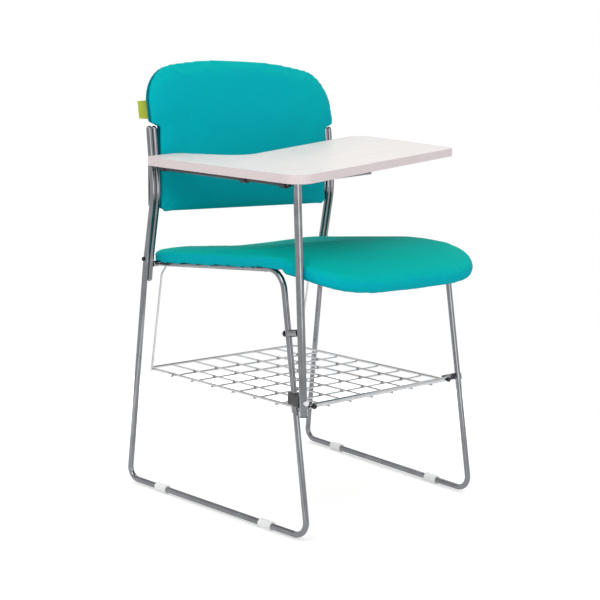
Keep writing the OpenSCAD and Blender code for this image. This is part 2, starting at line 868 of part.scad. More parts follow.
module lower_clamp() {
  leg = leg_at(lower_clamp_z);
  post = post_at(lower_clamp_z);
  leg_way = unit(mirrored(knee_f, -1) - mirrored(foot_f, -1));
  post_way = unit(post_top - post_low);
  low = rod_d / 2 + clamp_rim;
  reach = lower_span - post_d / 2 + clamp_saddle;
  color("#2e2e30")
    difference() {
      translate(leg)
        rotate([0, 0, clamp_turn(lower_clamp_z)])
          translate([-low, -clamp_w / 2, -clamp_h / 2])
            cube([low + reach, clamp_w, clamp_h]);
      bar(leg - leg_way * 2 * cut, leg + leg_way * 2 * cut, rod_d + 2 * run_gap);
      bar(post - post_way * 2 * cut, post + post_way * 2 * cut, post_d + 2 * run_gap);
      lower_bolt_bore();
    }
}

// The lower bolt runs through the post and bites into the block behind it
lower_span = norm(post_at(lower_clamp_z) - leg_at(lower_clamp_z));
lower_bite_share = 0.7;
lower_bite = lower_bite_share * (lower_span - rod_d / 2 - post_d / 2);
lower_head_gap = 0.7;
lower_bolt_from = lower_span - post_d / 2 - lower_bite;
lower_bolt_to = lower_span + post_d / 2 + lower_head_gap;

module lower_bolt_at(from_leg) {
  translate(leg_at(lower_clamp_z))
    rotate([0, 0, clamp_turn(lower_clamp_z)])
      translate([from_leg, 0, 0])
        rotate([0, 90, 0])
          children();
}

module lower_bolt_bore() {
  lower_bolt_at(lower_bolt_from - bolt_gap)
    cylinder(h = 3 * cut, d = clamp_bolt_d + 2 * bolt_gap);
}

module lower_clamp_bolt() {
  color("black") {
    lower_bolt_at(lower_bolt_from)
      cylinder(h = lower_bolt_to - lower_bolt_from, d = clamp_bolt_d);
    lower_bolt_at(lower_bolt_to)
      cylinder(h = clamp_head_t, d = clamp_head_d);
  }
}

// Upper clamp: a bolt through the leg and the post, with a sleeve between them
upper_leg = leg_at(upper_clamp_z);
upper_post = post_at(upper_clamp_z + upper_clamp_rise);
upper_way = unit(upper_post - upper_leg);
upper_span = norm(upper_post - upper_leg);
upper_gap_leg = rod_d / 2 + seat_gap;
upper_gap_post = post_d / 2 + seat_gap;
stud_out = 3.5;
stud_in = 2;
nut_rim = 0.5;
bolt_past = rod_d / 2 + stud_out;
cap_nut_t = 2;
sleeve_share = 2.6;

// A round piece along the clamp's line, between two distances from the leg
module upper_piece(from_leg, to_leg, d) {
  bar(upper_leg + upper_way * from_leg, upper_leg + upper_way * to_leg, d);
}

module upper_bolt_bore() {
  upper_piece(-cut, upper_span, clamp_bolt_d + 2 * bolt_gap);
}

module upper_clamp_sleeve() {
  color("gainsboro")
    difference() {
      upper_piece(upper_gap_leg, upper_span - upper_gap_post, sleeve_share * clamp_bolt_d);
      upper_bolt_bore();
    }
}

module upper_clamp_bolt() {
  color("gray")
    upper_piece(-bolt_past, upper_span - post_d / 2 + post_wall + stud_in, clamp_bolt_d);
}

module upper_clamp_nut() {
  color("black")
    difference() {
      upper_piece(-bolt_past - cap_nut_t, -upper_gap_leg, 2 * clamp_bolt_d + 2 * nut_rim);
      upper_piece(-bolt_past, cut, clamp_bolt_d + 2 * bolt_gap);
    }
}

// Plate under the writing board, welded on the post and along the hinge rod
plate_front_at = 48;
plate_l = 120;
plate_front = front_y + plate_front_at;
plate_back = plate_front + plate_l;
plate_reach = 205;
plate_nose = 25;
plate_trim = 10;
plate_lead = 1;
hinge_front_at = 70;
hinge_l = 332;
hinge_front = front_y + hinge_front_at;
hinge_back = hinge_front + hinge_l;
bush_in = 14;
bush_pitch = 98;
front_bush_y = hinge_front + bush_in;
rear_bush_y = front_bush_y + bush_pitch;
bush_l = 14;
bush_half = 20;
plate_edge = hinge_d / 2 + weld_gap;
plate_start = fold_x - post_half - post_d / 2;
notch_slack = 2.5;

module board_plate() {
  color("silver")
    on_fold()
      translate([0, 0, plate_low])
        linear_extrude(plate_t)
          polygon([
            [plate_start, plate_front],
            [plate_reach - plate_nose, plate_front],
            [plate_reach, plate_front + plate_nose],
            [plate_reach, plate_back - plate_trim],
            [plate_reach - plate_trim, plate_back],
            [plate_edge, plate_back],
            [plate_edge, front_bush_y + bush_l / 2 + notch_slack],
            [bush_half + notch_slack, front_bush_y + bush_l / 2 + notch_slack],
            [bush_half + notch_slack, front_bush_y - bush_l / 2 - notch_slack],
            [plate_edge, front_bush_y - bush_l / 2 - notch_slack],
            [plate_edge, hinge_front - plate_lead],
            [plate_start, hinge_front - plate_lead]]);
}

module hinge_rod() {
  color("#707478")
    on_fold()
      bar([0, hinge_front, 0], [0, hinge_back, 0], hinge_d);
}

cap_grip = 8;
cap_end = 2;
cap_wall = 1.5;

module hinge_rod_cap() {
  color("black")
    on_fold()
      difference() {
        bar([0, hinge_back - cap_grip, 0], [0, hinge_back + cap_end, 0], hinge_d + 2 * cap_wall);
        bar([0, hinge_back - cap_grip - cut, 0], [0, hinge_back, 0], hinge_d + 2 * run_gap);
      }
}

buffer_d = 16;
buffer_in = 18;
buffer_near = 60;
buffer_far = 185;
buffer_x = [buffer_near, buffer_far];
buffer_y = [plate_front + buffer_in, plate_back - buffer_in];

module plate_buffers() {
  color("#1c1c1c")
    on_fold()
      for (x = buffer_x, y = buffer_y)
        translate([x, y, plate_low + plate_t])
          cylinder(h = board_under - plate_low - plate_t - seat_gap, d = buffer_d);
}

bush_d = 16;
bush_foot_t = 3;
bush_screw_at = 14;
bush_screw_d = 3.5;

module bush(y) {
  color("#18181a")
    on_fold()
      difference() {
        union() {
          bar([0, y - bush_l / 2, 0], [0, y + bush_l / 2, 0], bush_d);
          translate([-bush_half, y - bush_l / 2, board_under - bush_foot_t])
            cube([2 * bush_half, bush_l, bush_foot_t]);
        }
        bar([0, y - cut, 0], [0, y + cut, 0], hinge_d + 2 * run_gap);
        translate([-bush_half, y - bush_l, board_under])
          cube([2 * bush_half, 2 * bush_l, cut]);
        for (s = [-1, 1])
          translate([s * bush_screw_at, y, 0])
            cylinder(h = cut, d = bush_screw_d + 2 * bolt_gap);
      }
}

module front_bush() { bush(front_bush_y); }
module rear_bush() { bush(rear_bush_y); }

bush_screw_bite = 9;
bush_screw_head_d = 7;
bush_screw_head_t = 1.6;
bush_screw_l = bush_foot_t + bush_screw_bite;

module bush_screws() {
  color("silver")
    on_fold()
      for (y = [front_bush_y, rear_bush_y], s = [-1, 1])
        translate([s * bush_screw_at, y, board_under - bush_foot_t])
          screw(bush_screw_d, bush_screw_l, bush_screw_head_d, bush_screw_head_t);
}

// Writing board: corner points counted from the fold axis and the front foot
edging_t = 3;
board_reach = 531.2;
board_outer = 43.3;
board_end_at = 415;
arm_corner_r = 26;
wide_corner_r = 30;
elbow_corner_r = 50;
front_outer_share = 0.0048;
front_reach_share = 0.883;
front_end_share = 0.2217;
rear_reach_share = 0.9687;
elbow_reach_share = 0.1845;
elbow_end_share = 0.694;
arm_reach_share = 0.0772;
arm_outer_share = 0.947;
arm_outer_end_share = 0.9928;
board_corners = [
  [-board_outer, board_end_at * front_outer_share],
  [board_reach * front_reach_share, board_end_at * front_end_share],
  [board_reach, board_end_at * rear_reach_share],
  [board_reach * elbow_reach_share, board_end_at * elbow_end_share],
  [board_reach * arm_reach_share, board_end_at],
  [-board_outer * arm_outer_share, board_end_at * arm_outer_end_share]];
board_radii = [wide_corner_r, arm_corner_r, wide_corner_r, elbow_corner_r, arm_corner_r,
  arm_corner_r];

function turn_left(v) = [-v.y, v.x];
// Corner i of a shape with every side moved in by inset
function inset_corner(pts, i, inset) =
  let (n = len(pts), a = pts[(i + n - 1) % n], b = pts[i], c = pts[(i + 1) % n],
       u = unit(b - a), w = unit(c - b), turn = cross(u, w))
  b + inset * (turn_left(u) + turn_left(w)) / (1 + u * w);

// Round corner b between a and c, as points on an arc
corner_steps = 10;
function round_corner(a, b, c, r, n = corner_steps) =
  let (u = unit(a - b), w = unit(c - b), half = acos(u * w) / 2, t = r / tan(half),
       mid = b + unit(u + w) * r / sin(half), s = b + u * t - mid, e = b + w * t - mid,
       from = atan2(s.y, s.x), sweep = asin(max(-1, min(1, cross(s, e) / (r * r)))),
       full = (180 - 2 * half) * sign(sweep))
  [for (i = [0 : n]) let (g = from + full * i / n) mid + r * [cos(g), sin(g)]];

function is_left(pts, i) = let (n = len(pts))
  cross(pts[i] - pts[(i + n - 1) % n], pts[(i + 1) % n] - pts[i]) > 0;

function board_outline(inset) =
  let (base = [for (p = board_corners) [p.x, p.y + front_y]],
       n = len(base), pts = [for (i = [0 : n - 1]) inset_corner(base, i, inset)])
  [for (i = [0 : n - 1])
    let (r = board_radii[i] + (is_left(base, i) ? -inset : inset))
    each round_corner(pts[(i + n - 1) % n], pts[i], pts[(i + 1) % n], r)];

module writing_board() {
  color("#dedad6")
    on_fold()
      difference() {
        translate([0, 0, board_under])
          linear_extrude(board_t)
            polygon(board_outline(edging_t + weld_gap));
        for (y = [front_bush_y, rear_bush_y], s = [-1, 1])
          translate([s * bush_screw_at, y, 0])
            cylinder(h = board_under - bush_foot_t + bush_screw_l + bolt_gap,
                     d = bush_screw_d + 2 * bolt_gap);
      }
}

module board_edging() {
  color("#e6e3e0")
    on_fold()
      translate([0, 0, board_under])
        linear_extrude(board_t)
          difference() {
            polygon(board_outline(0));
            polygon(board_outline(edging_t));
          }
}

right_side_frame();
left_side_frame();
right_back_rod();
left_back_rod();
rod_bolts();
front_cross_rod();
rear_cross_rod();
seat_tabs();
seat_screws();
seat_board();
seat_cushion();
right_back_strap();
left_back_strap();
strap_screws();
back_board();
back_cushion();
back_cover();
side_tag();
front_right_glide();
rear_right_glide();
front_left_glide();
rear_left_glide();
basket_rim_wire();
basket_long_wires();
basket_cross_wires();
basket_front_bar();
right_bar_clip();
left_bar_clip();
bar_clip_bolts();
basket_hangers();
board_post();
post_plug();
lower_clamp();
lower_clamp_bolt();
upper_clamp_sleeve();
upper_clamp_bolt();
upper_clamp_nut();
board_plate();
hinge_rod();
plate_buffers();
front_bush();
rear_bush();
bush_screws();
hinge_rod_cap();
writing_board();
board_edging();
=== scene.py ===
# %% [markdown]
# # A lecture chair, dressed for the camera
# The measured model gives every rod, board, bush and bolt its place. This lesson loads
# it as a fixed frame and adds what a measured model leaves out: upholstery that swells,
# fasteners with real drives, weld beads, cloth turned over the boards, and the finishes.
# All lengths are in metres. The sitter faces -Y, and the writing board's post is at -X.

# %% Load the measured frame
import json
import math

import bmesh
import bpy
import numpy as np
from mathutils import Matrix, Vector
from mathutils.bvhtree import BVHTree
from mathutils.kdtree import KDTree


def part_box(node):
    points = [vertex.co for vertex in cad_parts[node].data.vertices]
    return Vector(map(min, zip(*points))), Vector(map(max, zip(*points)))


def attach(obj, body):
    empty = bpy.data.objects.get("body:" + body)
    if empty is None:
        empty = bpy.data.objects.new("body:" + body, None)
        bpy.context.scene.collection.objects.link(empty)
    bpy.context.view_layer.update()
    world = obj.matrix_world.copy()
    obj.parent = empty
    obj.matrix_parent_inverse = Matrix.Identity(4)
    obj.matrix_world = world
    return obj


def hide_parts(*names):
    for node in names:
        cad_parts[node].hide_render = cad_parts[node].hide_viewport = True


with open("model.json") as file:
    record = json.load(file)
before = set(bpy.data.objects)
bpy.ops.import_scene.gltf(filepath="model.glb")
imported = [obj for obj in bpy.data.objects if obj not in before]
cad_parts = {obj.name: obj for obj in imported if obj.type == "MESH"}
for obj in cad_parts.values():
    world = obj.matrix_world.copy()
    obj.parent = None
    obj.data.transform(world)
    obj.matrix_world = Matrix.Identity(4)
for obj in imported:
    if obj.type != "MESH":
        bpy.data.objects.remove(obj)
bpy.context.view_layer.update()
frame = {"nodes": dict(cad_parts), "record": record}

MM = 0.001
nodes = frame["nodes"]

# %% [markdown]
# ## The camera
# The picture was taken from the sitter's right, a little above the seat, with a long
# lens and a slight tilt. A constraint could aim it at the chair, but would hide the tilt.
# Four facts say all: where the camera stands, where its back points, how far it rolls and
# how long its lens is. They were found by matching the frame's corners with the picture's,
# so they are written here as plain numbers.

# %% Stand the camera where the picture was taken
CAMERA_PLACE = Vector((-1.8642, -1.78035, 0.8077))
CAMERA_AZIMUTH = math.radians(-45.70)
CAMERA_PITCH = math.radians(9.62)
CAMERA_ROLL = math.radians(2.72)
FRAME_SIDE_PX = 600
FOCAL_PX = 1367.35
SENSOR_MM = 36.0


def link(obj):
    """Puts a new object into the scene."""
    bpy.context.scene.collection.objects.link(obj)
    return obj


def camera_axes(azimuth, pitch, roll):
    """The camera's right, up and back directions."""
    level = math.cos(pitch)
    back = Vector((math.sin(azimuth) * level, -math.cos(azimuth) * level, math.sin(pitch)))
    right = (-back).cross(Vector((0, 0, 1))).normalized()
    up = right.cross(-back)
    turned_right = right * math.cos(roll) + up * math.sin(roll)
    turned_up = up * math.cos(roll) - right * math.sin(roll)
    return turned_right, turned_up, back


camera_data = bpy.data.cameras.new("picture_camera")
camera_data.sensor_width = SENSOR_MM
camera_data.lens = FOCAL_PX * SENSOR_MM / FRAME_SIDE_PX
camera = link(bpy.data.objects.new("picture_camera", camera_data))
axes = Matrix(camera_axes(CAMERA_AZIMUTH, CAMERA_PITCH, CAMERA_ROLL)).transposed()
camera.matrix_world = Matrix.Translation(CAMERA_PLACE) @ axes.to_4x4()
bpy.context.scene.camera = camera
print("camera: lens", round(camera_data.lens, 1), "mm")

# %% [markdown]
# ## Small helpers for finishes
# A finish is a material with a few nodes that vary its colour, gloss and bump. It could be
# drawn by hand in the node editor, but then this file couldn't make it again. Writing
# `add` once keeps each finish short: it makes a node, sets its options and joins or
# fills its sockets.

# %% Helpers that build a finish


def add(tree, kind, sockets=None, **options):
    """Makes a node; a socket's value may be a number, a colour or another node's output."""
    made = tree.nodes.new("ShaderNode" + kind)
    for name, value in options.items():
        setattr(made, name, value)
    for name, value in (sockets or {}).items():
        if isinstance(value, bpy.types.NodeSocket):
            tree.links.new(value, made.inputs[name])
        else:
            made.inputs[name].default_value = value
    return made


finishes = {}


def new_finish(name, **constants):
    """A listed material with its shader's fixed numbers set on the shader's own sockets."""
    finishes[name] = bpy.data.materials.new(name)
    finishes[name].use_nodes = True
    tree = finishes[name].node_tree
    shader = next(n for n in tree.nodes if n.type == "BSDF_PRINCIPLED")
    for socket, value in constants.items():
        shader.inputs[socket.replace("_", " ")].default_value = value
    return tree, shader


def spots(tree, where, scale, detail=4.0, rough=0.55, stretch=(1, 1, 1), distort=0.0):
    """Noise in the object's own metres, stretched if asked; gives the 0 to 1 output."""
    place = add(tree, "Mapping", {"Vector": where, "Scale": stretch}).outputs["Vector"]
    sockets = {"Vector": place, "Scale": scale, "Detail": detail, "Roughness": rough,
               "Distortion": distort}
    return add(tree, "TexNoise", sockets).outputs["Fac"]


def spread(tree, value, low, high, start=0.3, stop=0.7):
    """Stretches the part of a value between start and stop to low..high."""
    sockets = {"Value": value, "From Min": start, "From Max": stop, "To Min": low, "To Max": high}
    return add(tree, "MapRange", sockets).outputs["Result"]


def tint(tree, value, first, second):
    """A colour between two, by a 0 to 1 value."""
    mix = add(tree, "Mix", {"Factor": value}, data_type="RGBA")
    mix.inputs["A"].default_value = (*first, 1)
    mix.inputs["B"].default_value = (*second, 1)
    return mix.outputs["Result"]


def surface(tree, shader, base, value, low, high, start=0.3, stop=0.7):
    """Feeds the shader its colour, and a roughness that follows a value."""
    tree.links.new(base, shader.inputs["Base Color"])
    tree.links.new(spread(tree, value, low, high, start, stop), shader.inputs["Roughness"])


def dented(tree, shader, height, depth, strength=1.0):
    """Feeds a height, in metres of depth, to the shader as bump."""
    bump = add(tree, "Bump", {"Height": height, "Distance": depth, "Strength": strength})
    tree.links.new(bump.outputs["Normal"], shader.inputs["Normal"])


def object_place(tree):
    return add(tree, "TexCoord").outputs["Object"]


def linear(r, g, b):
    """A colour read off a screen, 0 to 255, as the straight numbers a shader wants."""
    parts = [c / 255 for c in (r, g, b)]
    return tuple(c / 12.92 if c <= 0.04045 else ((c + 0.055) / 1.055) ** 2.4 for c in parts)


print("helpers ready; mid grey is", round(linear(188, 188, 188)[0], 3))

# %% [markdown]
# ## Chrome
# Plated rod is a mirror with a history: smudges that dull it in patches, and a very fine
# unevenness of its skin. A metal of one gloss would look too perfect, so one noise moves
# its grey and its roughness together: the eye reads a mirror by how bright and how sharp
# its reflections are. The greys are darker than those of real chrome, a painted shade for
# the dim room the rods reflect, and the thin wires are paler than the rods, a painted
# reflection of bright surroundings, to come nearer to the picture.

# %% Chrome for rods, wires and fittings


def chrome(name, bright, dull, smudge_scale, roughness):
    tree, shader = new_finish(name, Metallic=1.0)
    where = object_place(tree)
    smudge = spots(tree, where, smudge_scale, detail=6.0)
    surface(tree, shader, tint(tree, smudge, bright, dull), smudge, *roughness)
    fine = spots(tree, where, scale=900.0, detail=2.0)
    dented(tree, shader, fine, depth=0.01 * MM, strength=0.25)


# Painted shade and painted reflection: the rods' greys are darker than chrome's, the wires'
# paler.
PAINTED_SHADE_CHROME_BRIGHT = (0.30, 0.305, 0.32)
PAINTED_SHADE_CHROME_DULL = (0.13, 0.135, 0.145)
PAINTED_SHEEN_WIRE_BRIGHT = (0.60, 0.61, 0.62)
PAINTED_SHEEN_WIRE_DULL = (0.40, 0.41, 0.43)
chrome("chrome_rod", PAINTED_SHADE_CHROME_BRIGHT, PAINTED_SHADE_CHROME_DULL, smudge_scale=26.0, roughness=(0.05, 0.13))
chrome("chrome_wire", PAINTED_SHEEN_WIRE_BRIGHT, PAINTED_SHEEN_WIRE_DULL, smudge_scale=60.0, roughness=(0.08, 0.18))
chrome("chrome_fitting", PAINTED_SHADE_CHROME_BRIGHT, PAINTED_SHADE_CHROME_DULL, smudge_scale=45.0, roughness=(0.06, 0.15))
print("chrome finishes:", sorted(finishes))

# %% [markdown]
# ## Teal upholstery cloth
# The pads wear a coated cloth: a tight weave under a soft film. Seen close it has a
# square weave of 1.4 mm and a fine pebble, and its colour is painted darker where the
# threads dip: painted shade in the weave's hollows. Seen from afar its colour is painted
# more green where a face looks up and more blue on its sides, a painted light by the way
# a face looks, and it is a little uneven. Brick or checker nodes would need the pads
# unwrapped. Here each axis carries a sine, and the sum of their products, two by two,
# gives crossing threads on a face that looks any way.

# %% Teal cloth with a weave


def axis_wave(tree, where, axis, pitch):
    """A sine along one axis of the object, with one wave each pitch metres."""
    part = add(tree, "SeparateXYZ", {"Vector": where}).outputs[axis]
    turned = add(tree, "Math", {0: part, 1: 2 * math.pi / pitch}, operation="MULTIPLY")
    return add(tree, "Math", {0: turned.outputs[0]}, operation="SINE").outputs[0]


def weave_height(tree, where, pitch):
    """Threads crossing each other: the sum of the three products of two axes' waves."""
    x, y, z = (axis_wave(tree, where, axis, pitch) for axis in "XYZ")
    flat, side, end = (add(tree, "Math", {0: a, 1: b}, operation="MULTIPLY").outputs[0]
                       for a, b in ((x, y), (y, z), (z, x)))
    both = add(tree, "Math", {0: flat, 1: side}).outputs[0]
    return add(tree, "Math", {0: both, 1: end}).outputs[0]


WEAVE_PITCH = 1.4 * MM
DENT_HEIGHT, PEBBLE_HEIGHT, WEAVE_HEIGHT = 3.0, 0.25, 0.06


def cloth(name, painted_up_light_colour, painted_side_light_colour, roughness=(0.64, 0.80)):
    tree, shader = new_finish(name, Specular_IOR_Level=0.04)
    where = object_place(tree)
    # Painted light by facing: more green where a face looks up, more blue on its sides.
    facing = add(tree, "NewGeometry").outputs["Normal"]
    upward = add(tree, "SeparateXYZ", {"Vector": facing}).outputs["Z"]
    painted_facing_light = spread(tree, upward, 0.0, 1.0, start=0.25, stop=1.0)
    patch = spots(tree, where, scale=9.0, detail=5.0)
    shade = add(tree, "Math", {0: painted_facing_light, 1: spread(tree, patch, -0.10, 0.10)})
    base = tint(tree, shade.outputs[0], painted_side_light_colour, painted_up_light_colour)
    weave = weave_height(tree, where, WEAVE_PITCH)
    # Painted shade in the weave: the colour is darker where the threads dip, lighter on top.
    dark = spread(tree, weave, 0.90, 1.03, start=-1.2, stop=1.2)
    toned = add(tree, "VectorMath", {0: base, "Scale": dark}, operation="SCALE")
    grain = spots(tree, where, scale=420.0, detail=3.0)
    surface(tree, shader, toned.outputs[0], grain, *roughness)
    soft_dents = spots(tree, where, scale=14.0, detail=2.0)
    fine = add(tree, "Math", {0: weave, 1: WEAVE_HEIGHT}, operation="MULTIPLY").outputs[0]
    pebble = add(tree, "Math", {0: grain, 1: PEBBLE_HEIGHT, 2: fine}, operation="MULTIPLY_ADD")
    height = add(tree, "Math", {0: soft_dents, 1: DENT_HEIGHT, 2: pebble.outputs[0]},
                 operation="MULTIPLY_ADD")
    dented(tree, shader, height.outputs[0], depth=0.5 * MM, strength=0.6)


# Each cloth's first colour is the painted light on faces that look up, its second that on its
# sides.
cloth("teal_fabric", linear(0, 178, 166), linear(0, 166, 178))
# teal_cover is the same cloth painted darker: a painted shade for the panel behind the back.
cloth("teal_cover", linear(0, 152, 154), linear(0, 144, 160))
print("cloth weave pitch:", WEAVE_PITCH / MM, "mm")

# %% [markdown]
# ## Pale laminate and its edge band
# The writing board is a pressed laminate: warm white with a very faint drawn-out grain,
# half matt, with a slight orange-peel. A picture of wood would be far too strong, so the
# grain is one noise, stretched along the board, between two near colours. The edge band
# is one plastic strip, a touch pinker and smoother, because it is another material glued
# on.

# %% Laminate and edging


def laminate():
    tree, shader = new_finish("pale_laminate", Specular_IOR_Level=0.42)
    where = object_place(tree)
    grain = spots(tree, where, scale=10.0, detail=6.0, rough=0.65,
                  stretch=(0.7, 14.0, 14.0), distort=0.4)
    base = tint(tree, spread(tree, grain, 0.0, 1.0, start=0.35, stop=0.7),
                linear(222, 217, 214), linear(215, 209, 206))
    wear = spots(tree, where, scale=30.0, detail=3.0)
    surface(tree, shader, base, wear, 0.34, 0.48)
    peel = spots(tree, where, scale=260.0, detail=1.0)
    dented(tree, shader, peel, depth=0.04 * MM, strength=0.4)


def edge_band():
    tree, shader = new_finish("pale_edging", Specular_IOR_Level=0.5)
    where = object_place(tree)
    cloudy = spots(tree, where, scale=18.0, detail=3.0)
    base = tint(tree, cloudy, linear(217, 204, 205), linear(208, 195, 196))
    scuff = spots(tree, where, scale=130.0, detail=4.0)
    surface(tree, shader, base, scuff, 0.30, 0.46)
    dented(tree, shader, scuff, depth=0.03 * MM, strength=0.3)


laminate()
edge_band()
print("laminate and edging ready")

# %% [markdown]
# ## Moulded plastic, rubber and the milky glides
# Moulded black plastic carries the fine spark texture of its mould and is greyer where
# hands and shoes rub it. Rubber is the same recipe, rougher and duller, so one function
# makes both. The glides are milky: light passes some way in, so they take a little
# transmission and a soft skin.

# %% Plastics and rubber


def moulded(name, colour, rubbed, roughness, grain_scale, grain_depth, shine):
    tree, shader = new_finish(name, Specular_IOR_Level=shine)
    where = object_place(tree)
    rub = spots(tree, where, scale=55.0, detail=4.0)
    base = tint(tree, spread(tree, rub, 0.0, 1.0, start=0.5, stop=0.8), colour, rubbed)
    grain = spots(tree, where, grain_scale, detail=2.0)
    surface(tree, shader, base, grain, *roughness)
    dented(tree, shader, grain, grain_depth, strength=0.5)


def milky():
    tree, shader = new_finish(
        "clear_glide", Transmission_Weight=0.12, IOR=1.46, Coat_Weight=0.15)
    where = object_place(tree)
    cloud = spots(tree, where, scale=90.0, detail=3.0)
    base = tint(tree, cloud, (0.93, 0.94, 0.94), (0.86, 0.88, 0.88))
    scuff = spots(tree, where, scale=300.0, detail=3.0)
    surface(tree, shader, base, scuff, 0.22, 0.42)
    dented(tree, shader, scuff, depth=0.04 * MM, strength=0.4)


BLACK = (0.022, 0.022, 0.024)
BLACK_RUBBED = (0.055, 0.055, 0.058)
RUBBER = (0.030, 0.030, 0.030)
RUBBER_RUBBED = (0.06, 0.06, 0.06)
moulded("black_plastic", BLACK, BLACK_RUBBED, (0.36, 0.54),
        grain_scale=700.0, grain_depth=0.04 * MM, shine=0.4)
moulded("rubber_buffer", RUBBER, RUBBER_RUBBED, (0.72, 0.88),
        grain_scale=500.0, grain_depth=0.06 * MM, shine=0.25)
milky()
print("plastics ready")

# %% [markdown]
# ## Painted steel, black oxide and zinc
# Straps and tabs are satin black paint over steel, a little paler where it is rubbed.
# The clamp bolts are black oxide, a thin oily skin over metal, and the screws are zinc
# plated. Each is a skin, its rubbed places and a fine peel, so one function makes all
# three, told how much of a metal the skin is.

# %% Metal skins


def painted(name, skin, rubbed, metal_share, roughness, peel_depth):
    tree, shader = new_finish(name, Metallic=metal_share, Specular_IOR_Level=0.45)
    where = object_place(tree)
    worn = spots(tree, where, scale=80.0, detail=6.0, rough=0.7)
    base = tint(tree, spread(tree, worn, 0.0, 1.0, start=0.62, stop=0.75), skin, rubbed)
    peel = spots(tree, where, scale=240.0, detail=2.0)
    surface(tree, shader, base, peel, *roughness)
    dented(tree, shader, peel, peel_depth, strength=0.5)


painted("dark_steel", (0.035, 0.035, 0.038), (0.09, 0.09, 0.095),
        metal_share=0.25, roughness=(0.30, 0.46), peel_depth=0.05 * MM)
painted("black_hardware", (0.020, 0.020, 0.022), (0.05, 0.05, 0.052),
        metal_share=0.6, roughness=(0.28, 0.42), peel_depth=0.02 * MM)
painted("zinc_screw", (0.66, 0.67, 0.69), (0.52, 0.53, 0.55),
        metal_share=1.0, roughness=(0.22, 0.38), peel_depth=0.02 * MM)
print("metal skins ready")

# %% [markdown]
# ## Plywood and ribbon
# The boards inside the pads are plywood, seen only from below and behind: long grain
# with darker veins, a noise drawn out along the board. The ribbon at the side of the back
# is a woven lime tape. Its fine ribs all run one way, so one wave makes its colour, gloss
# and bump, where a noise would look like felt. Its colour is darker in the grooves and
# paler on the crests: a painted shade and a painted highlight of the ribs.

# %% Wood and ribbon
RIB_PITCH = 1.1 * MM


def plywood():
    tree, shader = new_finish("plywood", Specular_IOR_Level=0.3)
    where = object_place(tree)
    grain = spots(tree, where, scale=16.0, detail=8.0, rough=0.6,
                  stretch=(9.0, 0.9, 9.0), distort=1.2)
    base = tint(tree, spread(tree, grain, 0.0, 1.0, start=0.35, stop=0.68),
                (0.62, 0.45, 0.27), (0.42, 0.27, 0.14))
    surface(tree, shader, base, grain, 0.55, 0.75)
    dented(tree, shader, grain, depth=0.1 * MM, strength=0.5)


def ribbon():
    tree, shader = new_finish(
        "lime_tag", Sheen_Weight=0.2, Sheen_Roughness=0.4, Specular_IOR_Level=0.3)
    ribs = axis_wave(tree, object_place(tree), "Z", RIB_PITCH)
    # Painted shade in the grooves and painted highlight on the crests of the ribs.
    shade = spread(tree, ribs, 0.0, 1.0, start=-1.0, stop=1.0)
    base = tint(tree, shade, linear(156, 170, 42), linear(188, 198, 78))
    surface(tree, shader, base, ribs, 0.6, 0.8, start=-1.0, stop=1.0)
    dented(tree, shader, ribs, depth=0.12 * MM, strength=0.7)


plywood()
ribbon()
print("finishes in all:", len(finishes))

# %% [markdown]
# ## Dress the measured nodes
# Each node of the record names its material slot. The node keeps its shape and only
# gets the finish. Round rods come as many narrow facets, so their faces are shaded
# smooth up to a sharp edge.

# %% Give every carried-over node its finish
SHARP_ANGLE = math.radians(32)
slot_of = {part["node"]: part["material_slot"] for part in frame["record"]["subparts"]}


def wear_finish(obj, finish):
    obj.data.materials.clear()
    obj.data.materials.append(finishes[finish])


def shade_to_edges(mesh):
    mesh.shade_smooth()
    mesh.set_sharp_from_angle(angle=SHARP_ANGLE)


for name, obj in nodes.items():
    wear_finish(obj, slot_of[name])
    shade_to_edges(obj.data)
print("dressed", len(nodes), "nodes")

# %% [markdown]
# ## Helpers for new pieces
# A new piece is a mesh made in code. `new_piece` links it, gives it a finish and makes
# it ride on a body of the frame, so it moves with it. Blender's own primitives would be
# quicker, but they know nothing of the measured sizes. `solid_parts` splits a node of
# several solids into its separate lumps, so each screw can be found and rebuilt.

# %% Helpers that make pieces
WELD_REACH, FINE_REACH = 1e-5, 1e-7


def new_piece(name, mesh, finish, body):
    """A piece in one of the record's finishes that rides on a body."""
    obj = link(bpy.data.objects.new(name, mesh))
    wear_finish(obj, finish)
    shade_to_edges(mesh)
    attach(obj, body)
    return obj


def mesh_from(name, points, faces):
    mesh = bpy.data.meshes.new(name)
    mesh.from_pydata([tuple(p) for p in points], [], faces)
    mesh.validate()
    return mesh


def join_meshes(name, parts):
    """One mesh from several (points, faces) lists."""
    points, faces = [], []
    for part_points, part_faces in parts:
        start = len(points)
        points.extend(part_points)
        faces.extend([[i + start for i in face] for face in part_faces])
    return mesh_from(name, points, faces)


def welded(mesh, reach=WELD_REACH):
    """A bmesh copy whose split corners are joined again."""
    shape = bmesh.new()
    shape.from_mesh(mesh)
    bmesh.ops.remove_doubles(shape, verts=shape.verts, dist=reach)
    return shape


def turn_outward(mesh):
    """Joins points that meet and makes every face look outward."""
    shape = welded(mesh, FINE_REACH)
    bmesh.ops.recalc_face_normals(shape, faces=shape.faces)
    shape.to_mesh(mesh)
    shape.free()


def node_copy(node, name, flat_angle=None):
    """A new object in a node's shape; faces that meet flatter than an angle may be joined."""
    mesh = bpy.data.meshes.new(name)
    shape = welded(nodes[node].data)
    bmesh.ops.recalc_face_normals(shape, faces=shape.faces)
    if flat_angle:
        bmesh.ops.dissolve_limit(shape, angle_limit=flat_angle, verts=shape.verts,
                                 edges=shape.edges)
    shape.to_mesh(mesh)
    shape.free()
    return link(bpy.data.objects.new(name, mesh))


